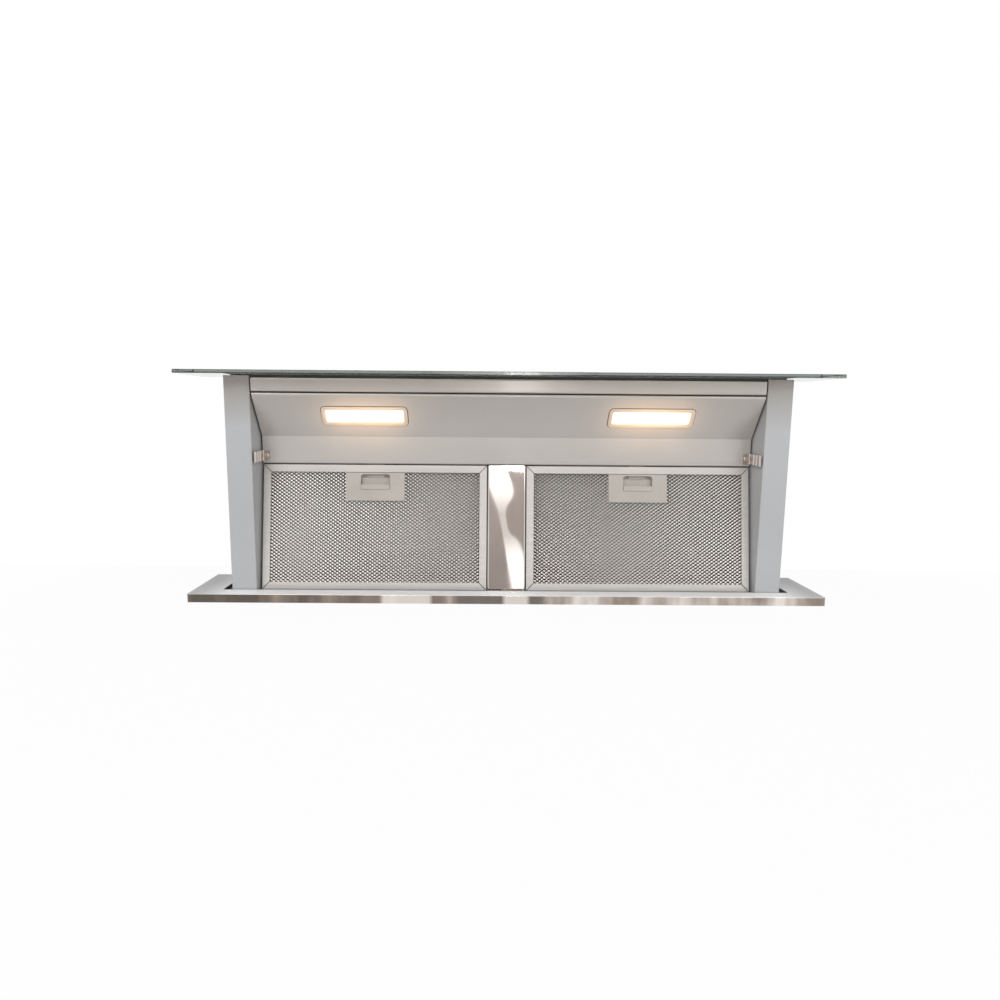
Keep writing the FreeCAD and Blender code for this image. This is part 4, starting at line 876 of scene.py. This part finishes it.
def filter_surround(settings, inner, outer, height):
    """Folded channel round a filter, with a dark line across each mitred corner."""
    bm = bmesh.new()
    dark = bm.verts.layers.float.new("dark")
    width = settings.frame_width
    ring_of(bm, upright_face(bm, inner, outer, 0.0, height), width)
    rim = [edge for edge in bm.edges if edge.is_boundary
           and all(min(abs(vert.co.x - inner), abs(vert.co.x - outer)) < SAME_PLACE for vert in edge.verts)]
    wall, rim = extend(bm, rim)
    bmesh.ops.translate(bm, vec=(0, settings.thickness, 0), verts=wall)
    leg = extend(bm, rim)[0]
    middle = Vector(((inner + outer) / 2, 0, height / 2))
    share = (1 - 2 * width / (outer - inner), 1.0, 1 - 2 * width / height)
    bmesh.ops.scale(bm, vec=share, space=Matrix.Translation(-middle), verts=leg)
    soften(bm, settings.fold_radius)
    mitres = []
    for edge in bm.edges:
        run = edge.verts[1].co - edge.verts[0].co
        on_front = max(abs(vert.co.y) for vert in edge.verts) < SAME_PLACE
        if on_front and min(abs(run.x), abs(run.z)) > width / 2:
            mitres.append(edge)
    lines = bevel(bm, mitres, settings.mitre_width / 2, 1)["faces"]
    for face in push(bm, lines, (0, settings.mitre_depth, 0)):
        for vert in face.verts:
            vert[dark] = 1.0
    return bm


def strand_mesh(start, end, lifted, settings):
    """One zigzag strand of slit and stretched sheet, swept along its way from a small section."""
    bm = bmesh.new()
    pitch, bond = settings.pitch, settings.bond

    def offset(x):
        """Place at a way along the strand: level at its bonds, and forward as it climbs between them."""
        away = abs((x / pitch + (0.5 if lifted else 0.0)) % 1.0 - 0.5) * pitch
        slope = (pitch / 4 - away) / (pitch / 4 - bond / 2)
        climb = max(-1.0, min(1.0, slope)) / 2
        return Vector((x, -climb * settings.sway, climb * settings.rise))

    first, last = math.floor(start / pitch * 2), math.ceil(end / pitch * 2)
    corners = [pitch / 2 * index + side * bond / 2 for index in range(first, last + 1) for side in (-1, 1)]
    stops = [start] + [x for x in corners if start < x < end] + [end]
    section = flat_square(bm)
    stand = (Matrix.Translation(offset(start)) @ Matrix.Rotation(-settings.strand_tilt, 4, "X")
             @ Matrix.Rotation(math.pi / 2, 4, "Y")
             @ Matrix.Diagonal((settings.strand_width, settings.strand_sheet, 1.0, 1.0)))
    bmesh.ops.transform(bm, matrix=stand, verts=section)
    front = [section[0].link_faces[0]]
    for here, there in zip(stops, stops[1:]):
        front = push(bm, front, offset(there) - offset(here))
    mesh = bpy.data.meshes.new("strand")
    bm.to_mesh(mesh)
    bm.free()
    return mesh


def lay_strand(bm, mesh, place, layer, number):
    """Adds a strand at a place, and marks the layer that it is in."""
    count = len(bm.verts)
    bm.from_mesh(mesh)
    bm.verts.ensure_lookup_table()
    fresh = bm.verts[count:]
    bmesh.ops.translate(bm, vec=place, verts=fresh)
    for vert in fresh:
        vert[layer] = number


def filter_net(filters, handles, inner, outer, height):
    """Two layers of slit and stretched sheet behind the frame, left open round the handle plate."""
    bm = bmesh.new()
    layer = bm.verts.layers.float.new("layer")
    middle = (inner + outer) / 2
    cover = filters.frame_width - filters.net_tuck
    low, high = inner + cover, outer - cover
    plate_low, plate_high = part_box("right_handle_plate")
    handle_foot = height - filters.frame_width - handles.drop - handles.height
    reach = (filters.strand_width * math.sin(filters.strand_tilt) + filters.strand_sheet + filters.sway) / 2
    front = filters.frame_sheet + filters.net_gap + reach
    below, beside = [(low, high)], [(low, plate_low.x), (plate_high.x, high)]
    rows = int((height - 2 * cover) / filters.row)
    for lifted in (False, True):
        for spans in (below, beside):
            strands = [strand_mesh(start - middle, end - middle, lifted, filters) for start, end in spans]
            for index in range(lifted, rows, 2):
                z = cover + (index + 0.5) * filters.row
                if (z + filters.row / 2 > handle_foot) != (spans is beside):
                    continue
                for number, depth in enumerate((front, filters.thickness - front)):
                    for strand in strands:
                        lay_strand(bm, strand, (middle, depth, z), layer, number)
            for strand in strands:
                bpy.data.meshes.remove(strand)
    return bm


class HOOD_OT_filters(bpy.types.Operator):
    """Models the filter frames and their nets"""
    bl_idname = "hood.filters"
    bl_label = "Grease filters"

    def execute(self, context):
        filters, handles = context.scene.hood_filters, context.scene.hood_handles
        place, height = filter_place(filters)
        low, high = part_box("right_filter_frame")
        for side, sign in SIDES.items():
            mirror = sign < 0
            surround = piece(filter_surround(filters, low.x, high.x, height), f"{side}_filter_surround",
                             "carriage", "filter_aluminium", [f"{side}_filter_frame"], place, mirror)
            wall = surround.modifiers.new("Sheet", "SOLIDIFY")
            wall.thickness = filters.frame_sheet
            wall.offset = -1.0
            even_shading(surround)
            piece(filter_net(filters, handles, low.x, high.x, height), f"{side}_filter_net",
                  "carriage", "mesh_aluminium", [f"{side}_filter_mesh"], place, mirror, smooth=False)
        return {"FINISHED"}


def handle_plate(filters, handles, height):
    """Moulded plate with a finger pocket whose top corners are round."""
    bm = bmesh.new()
    low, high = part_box("right_handle_plate")
    middle, half = (low.x + high.x) / 2, handles.pocket_width / 2
    left, right = middle - half, middle + half
    top = height - filters.frame_width - handles.drop
    ceiling = top - handles.pocket_margin
    floor = ceiling - handles.pocket_height
    block(bm, (low.x, 0.0, top - handles.height), (high.x, handles.depth, top))
    slice_at(bm, ACROSS, left, right)
    slice_at(bm, UP, ceiling, floor)
    in_front = handles.depth / 2
    pocket = square_faces(bm, BACK, (left, -in_front, floor), (right, in_front, ceiling))
    push(bm, pocket, (0, handles.pocket_depth, 0))
    corners = [edge for edge in bm.edges
               if abs(edge.verts[0].co.y - edge.verts[1].co.y) > SAME_PLACE
               and all(abs(abs(vert.co.x - middle) - half) < SAME_PLACE
                       and abs(vert.co.z - ceiling) < SAME_PLACE for vert in edge.verts)]
    bevel(bm, corners, handles.pocket_corner, CORNER_STEPS)
    soften(bm, handles.edge)
    return bm


def handle_latch(filters, handles, height):
    """Slider at the back of the pocket, with a tongue above it and a web and finger bar below it."""
    bm = bmesh.new()
    low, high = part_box("right_handle_plate")
    middle, gap, wall = (low.x + high.x) / 2, handles.latch_gap, handles.latch_wall
    half = handles.pocket_width / 2 - gap
    back = handles.pocket_depth - gap
    ceiling = height - filters.frame_width - handles.drop - handles.pocket_margin
    foot = ceiling - handles.pocket_height + handles.latch_travel + gap
    shoulder = ceiling - handles.pocket_corner - gap
    bar_front, bar_top = -gap - handles.bar_depth, foot + wall
    tongue = handles.tongue_width / 2
    block(bm, (middle - half, back - wall, foot), (middle + half, back, shoulder))
    block(bm, (middle - tongue, back - wall, shoulder - wall),
          (middle + tongue, back, height + handles.tongue_reach))
    block(bm, (middle - half, -gap, foot), (middle + half, back, bar_top))
    block(bm, (middle - half, bar_front, bar_top - handles.bar_height), (middle + half, -gap, bar_top))
    soften(bm, handles.edge / 2)
    return bm


class HOOD_OT_handles(bpy.types.Operator):
    """Models the handle plates of the filters and their latches"""
    bl_idname = "hood.handles"
    bl_label = "Filter handles"

    def execute(self, context):
        filters, handles = context.scene.hood_filters, context.scene.hood_handles
        place, height = filter_place(filters)
        for side, sign in SIDES.items():
            plate = piece(handle_plate(filters, handles, height), f"{side}_handle_moulding", "carriage",
                          "handle_plastic", [f"{side}_handle_plate"], place, sign < 0)
            latch = piece(handle_latch(filters, handles, height), f"{side}_latch_moulding", f"{side}_latch",
                          "handle_plastic", [f"{side}_filter_latch"], place, sign < 0)
            even_shading(plate)
            even_shading(latch)
        return {"FINISHED"}


class HOOD_OT_centre_panel(bpy.types.Operator):
    """Finishes the polished panel between the filters"""
    bl_idname = "hood.centre_panel"
    bl_label = "Centre panel"

    def execute(self, context):
        dress("centre_panel")
        return {"FINISHED"}


class HOOD_OT_clips(bpy.types.Operator):
    """Finishes the spring clips and their screws"""
    bl_idname = "hood.clips"
    bl_label = "Spring clips"

    def execute(self, context):
        dress("clip_screws", *both("spring_clip"))
        return {"FINISHED"}


class HOOD_OT_housing(bpy.types.Operator):
    """Finishes the housing under the worktop, its rails, screws and brackets"""
    bl_idname = "hood.housing"
    bl_label = "Housing"

    def execute(self, context):
        dress("housing_front_panel", "housing_back_panel", "housing_bottom_panel", "housing_left_panel",
              "housing_right_panel", "housing_screws", "cabinet_brackets", "guide_rails", "glide_shoes")
        return {"FINISHED"}


class HOOD_OT_lift(bpy.types.Operator):
    """Finishes the lift actuator and its brackets"""
    bl_idname = "hood.lift"
    bl_label = "Lift actuator"

    def execute(self, context):
        dress("actuator_base_bracket", "actuator_base_pin", "actuator_gearbox", "actuator_motor",
              "actuator_tube", "drive_screw", "lift_rod", "lift_bracket", "lift_pin")
        return {"FINISHED"}


class HOOD_OT_blower(bpy.types.Operator):
    """Finishes the blower, its outlet and the non-return flaps"""
    bl_idname = "hood.blower"
    bl_label = "Blower"

    def execute(self, context):
        dress("blower_casing", "blower_cover", "blower_motor", "motor_shaft", "fan_wheel",
              "outlet_spigot", "damper_pin", "rear_damper_flap", "front_damper_flap")
        return {"FINISHED"}


class HOOD_OT_controls(bpy.types.Operator):
    """Finishes the control box, its lid, board and cable gland"""
    bl_idname = "hood.controls"
    bl_label = "Control box"

    def execute(self, context):
        dress("control_box", "control_box_lid", "control_board", "cable_gland")
        return {"FINISHED"}


# Stage, with its sizes in metres

WHITE = (1.0, 1.0, 1.0)
WARM_WHITE = (1.0, 0.985, 0.96)
PALE = (0.9, 0.9, 0.9)

WORKTOP_LOW, WORKTOP_HIGH = (-1.3, -0.66, -0.02), (1.3, 0.14, -0.0002)
WORKTOP_SLACK = 0.002               # from the housing to the worktop's cut edge
FLOOR_HALF = 8.0
FLOOR_GAP = 0.03                    # from the hood down to the floor

# Far card, behind the camera, and the box of the curved strip of light in front of it
CARD_LEFT, CARD_RIGHT, CARD_FOOT, CARD_HEAD = -0.25, 0.5, -0.3, 0.95
STRIP_LEFT, STRIP_RIGHT, STRIP_FOOT, STRIP_HEAD = 0.015, 0.232, -0.019, 0.677
STRIP_Y = -2.4
CARD_Y = STRIP_Y - 0.02
STRIP_LEVELS = 3                    # smoothing of the strip's outline

# Outline of the strip, as shares of its box: height, left edge and right edge
STRIP_OUTLINE = (
    (-0.12, 0.72, 0.94), (0.0, 0.64, 0.98), (0.15, 0.54, 1.02), (0.29, 0.48, 0.93),
    (0.42, 0.41, 0.79), (0.44, 0.40, 0.55), (0.58, 0.32, 0.48), (0.67, 0.25, 0.46),
    (0.75, 0.13, 0.70), (0.87, 0.0, 0.65), (1.0, -0.02, 0.47), (1.12, -0.02, 0.3),
)

# Near card, above the front of the worktop
NEAR_LEFT, NEAR_RIGHT, NEAR_FOOT, NEAR_HEAD = -0.17, 0.23, 0.3, 0.365
NEAR_Y = -0.6

# Place and size of each soft light, and the place that all of them point at
LIGHTS = {
    "key": ((-1.3, -2.1, 1.9), (1.8, 1.2)),
    "fill": ((1.7, -1.9, 1.2), (1.6, 1.4)),
    "overhead": ((0.0, 0.2, 2.4), (2.4, 1.6)),
}
LIGHT_AIM = (0.0, 0.0, 0.12)
HALO_SIZE = (0.1, 0.012)
HALO_AHEAD = 0.03                   # from a lamp's face to the light in front of it
SENSOR_WIDTH = 36.0                 # in millimetres, as the camera's lens is


def pale_surface(name, lit, clear):
    """Pale matt surface that is seen as near white. It keeps the hood's shadow, up to a clear distance."""
    surface = Finish(name)
    surface.set(Base_Color=PALE, Roughness=0.9, Specular_IOR_Level=0.0)
    away = surface.add("ShaderNodeVectorMath", {0: surface.place}, operation="LENGTH").outputs["Value"]
    share = surface.math("MULTIPLY", surface.seen(), surface.spread(away, lit, 1.0, clear / 2, clear))
    light = surface.add("ShaderNodeEmission").outputs["Emission"]
    surface.show(surface.mix(share, surface.shader.outputs["BSDF"], light))
    return surface.material


def glowing(name, axis, start, end, stops, strength):
    """Light whose colour runs along an axis, through a few (share of the way, colour) stops."""
    card = Finish(name)
    way = card.spread(card.across(axis), 0.0, 1.0, start, end)
    light = card.add("ShaderNodeEmission", {"Color": card.ramp(way, *stops), "Strength": strength})
    card.show(light.outputs["Emission"])
    return card.material


def stage_piece(bm, name, material):
    made = mesh_object(bm, name, material)
    return made


def reflection(bm, name, material):
    """Stage piece that is only seen in glossy and clear surfaces."""
    made = stage_piece(bm, name, material)
    made.visible_camera = False
    made.visible_diffuse = False
    made.visible_shadow = False
    return made


def worktop():
    """Plain board that the flange sits on, open where the housing hangs through it."""
    bm = bmesh.new()
    block(bm, WORKTOP_LOW, WORKTOP_HIGH)
    low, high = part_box("housing_back_panel")
    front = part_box("housing_front_panel")[0].y
    slack = WORKTOP_SLACK
    slice_at(bm, ACROSS, low.x - slack, high.x + slack)
    slice_at(bm, BACK, front - slack, high.y + slack)
    opening = square_faces(bm, UP, (low.x, front, WORKTOP_LOW[2] - slack),
                           (high.x, high.y, WORKTOP_HIGH[2] + slack))
    bmesh.ops.delete(bm, geom=opening, context="FACES")
    stage_piece(bm, "worktop", pale_surface("pale_worktop", lit=0.92, clear=1.1))


def floor():
    bm = bmesh.new()
    flat_square(bm, FLOOR_HALF)
    bmesh.ops.translate(bm, vec=(0, 0, CAD_BOX[0][2] - FLOOR_GAP), verts=bm.verts)
    stage_piece(bm, "floor", pale_surface("pale_floor", lit=0.8, clear=1.8))


def grey_card():
    """Warm grey card for the polished metal to show."""
    bm = bmesh.new()
    upright_face(bm, CARD_LEFT, CARD_RIGHT, CARD_FOOT, CARD_HEAD, CARD_Y)
    shades = (0.0, (0.47, 0.42, 0.39)), (1.0, (0.66, 0.58, 0.54))
    reflection(bm, "grey_card", glowing("card_grey", "Z", STRIP_FOOT, STRIP_HEAD, shades, strength=1.0))


def light_strip():
    """Curved strip of light on the grey card."""
    bm = bmesh.new()
    rows = []
    for rise, start, end in STRIP_OUTLINE:
        z = STRIP_FOOT + rise * (STRIP_HEAD - STRIP_FOOT)
        ends = [STRIP_LEFT + share * (STRIP_RIGHT - STRIP_LEFT) for share in (start, end)]
        rows.append([bm.verts.new((x, STRIP_Y, z)) for x in ends])
    for lower, upper in zip(rows, rows[1:]):
        bm.faces.new(lower + upper[::-1])
    dull = (0.58, 0.55, 0.53)
    shades = (0.28, WARM_WHITE), (0.44, dull), (0.62, dull), (0.8, WARM_WHITE)
    light = glowing("card_light", "Z", STRIP_FOOT, STRIP_HEAD, shades, strength=1.9)
    strip = reflection(bm, "light_strip", light)
    smooth = strip.modifiers.new("Smooth outline", "SUBSURF")
    smooth.levels = STRIP_LEVELS
    smooth.render_levels = STRIP_LEVELS


def near_card():
    """Bright card whose reflection lies on the fascia under the glass."""
    bm = bmesh.new()
    upright_face(bm, NEAR_LEFT, NEAR_RIGHT, NEAR_FOOT, NEAR_HEAD, NEAR_Y)
    dim, unlit = tone(WARM_WHITE, 0.45), (0.0, 0.0, 0.0)
    shades = ((0.0, unlit), (0.46, dim), (0.49, WARM_WHITE), (0.65, WARM_WHITE), (0.68, dim), (1.0, unlit))
    reflection(bm, "near_card", glowing("card_near", "X", NEAR_LEFT, NEAR_RIGHT, shades, strength=11.5))


def soft_light(name, place, aim, size, power):
    light = bpy.data.lights.new(name, "AREA")
    light.shape = "RECTANGLE"
    light.size, light.size_y = size
    light.energy = power
    made = bpy.data.objects.new(name, light)
    made.location = place
    made.rotation_euler = (Vector(aim) - Vector(place)).to_track_quat("-Z", "Y").to_euler()
    bpy.context.scene.collection.objects.link(made)
    return made


def room_light(strength):
    """Even light all round, seen as white by the camera and in glossy and clear surfaces."""
    world = bpy.data.worlds.new("room")
    bpy.context.scene.world = world
    room = Nodes(world)
    even = room.tree.nodes["Background"]
    room.give(even.inputs["Color"], WHITE)
    room.give(even.inputs["Strength"], strength)
    white = room.add("ShaderNodeBackground", {"Color": WHITE})
    shown = room.mix(room.seen(), even.outputs["Background"], white.outputs["Background"])
    room.give(room.tree.nodes["World Output"].inputs["Surface"], shown)


def lamp_halos(lamps):
    """Small warm lights that give the glow on the panel round each lens. They ride with the carriage."""
    place = lamp_place(lamps)
    for side, sign in SIDES.items():
        middle, near = place.to_translation(), place @ Vector((0, -HALO_AHEAD, 0))
        middle.x, near.x = middle.x * sign, near.x * sign
        halo = soft_light(f"{side}_lamp_halo", near, middle, HALO_SIZE, lamps.halo)
        halo.data.color = lamps.glow
        halo.visible_camera = False
        halo.visible_glossy = False
        halo.parent = frame["bodies"]["carriage"]


def camera(stage):
    data = bpy.data.cameras.new("camera")
    data.sensor_width = SENSOR_WIDTH
    data.lens = stage.lens
    data.shift_x, data.shift_y = stage.shift_x, stage.shift_y
    made = bpy.data.objects.new("camera", data)
    bpy.context.scene.collection.objects.link(made)
    made.matrix_world = (Matrix.Translation((stage.place_x, stage.place_y, stage.place_z))
                         @ Matrix.Rotation(-stage.yaw, 4, "Z")
                         @ Matrix.Rotation(math.pi / 2 + stage.pitch, 4, "X")
                         @ Matrix.Rotation(stage.roll, 4, "Z"))
    bpy.context.scene.camera = made


class HOOD_OT_stage(bpy.types.Operator):
    """Makes the worktop, floor, lights and camera"""
    bl_idname = "hood.stage"
    bl_label = "Stage"

    def execute(self, context):
        stage = context.scene.hood_stage
        worktop()
        floor()
        grey_card()
        light_strip()
        near_card()
        for name, (place, size) in LIGHTS.items():
            soft_light(f"{name}_light", place, LIGHT_AIM, size, getattr(stage, name))
        lamp_halos(context.scene.hood_lamps)
        room_light(stage.room)
        camera(stage)
        context.scene.view_settings.view_transform = "Standard"
        return {"FINISHED"}


OPERATORS = (
    HOOD_OT_flange, HOOD_OT_glass, HOOD_OT_carriage, HOOD_OT_lamps, HOOD_OT_filters, HOOD_OT_handles,
    HOOD_OT_centre_panel, HOOD_OT_clips, HOOD_OT_housing, HOOD_OT_lift, HOOD_OT_blower,
    HOOD_OT_controls, HOOD_OT_stage,
)


class HOOD_PT_panel(bpy.types.Panel):
    """Lists the hood's pieces"""
    bl_idname = "HOOD_PT_panel"
    bl_label = "Downdraft hood"
    bl_space_type = "VIEW_3D"
    bl_region_type = "UI"
    bl_category = "Hood"

    def draw(self, context):
        for operator in OPERATORS:
            self.layout.operator(operator.bl_idname)


SETTINGS = {
    "hood_filters": FilterSettings, "hood_handles": HandleSettings, "hood_lamps": LampSettings,
    "hood_finishes": FinishSettings, "hood_stage": StageSettings,
}


def register():
    for name, group in SETTINGS.items():
        bpy.utils.register_class(group)
        setattr(bpy.types.Scene, name, PointerProperty(type=group))
    for cls in OPERATORS + (HOOD_PT_panel,):
        bpy.utils.register_class(cls)


def unregister():
    for cls in reversed(OPERATORS + (HOOD_PT_panel,)):
        bpy.utils.unregister_class(cls)
    for name, group in SETTINGS.items():
        delattr(bpy.types.Scene, name)
        bpy.utils.unregister_class(group)


def main():
    register()
    for operator in OPERATORS:
        group, name = operator.bl_idname.split(".")
        getattr(getattr(bpy.ops, group), name)()


if __name__ == "__main__":
    main()
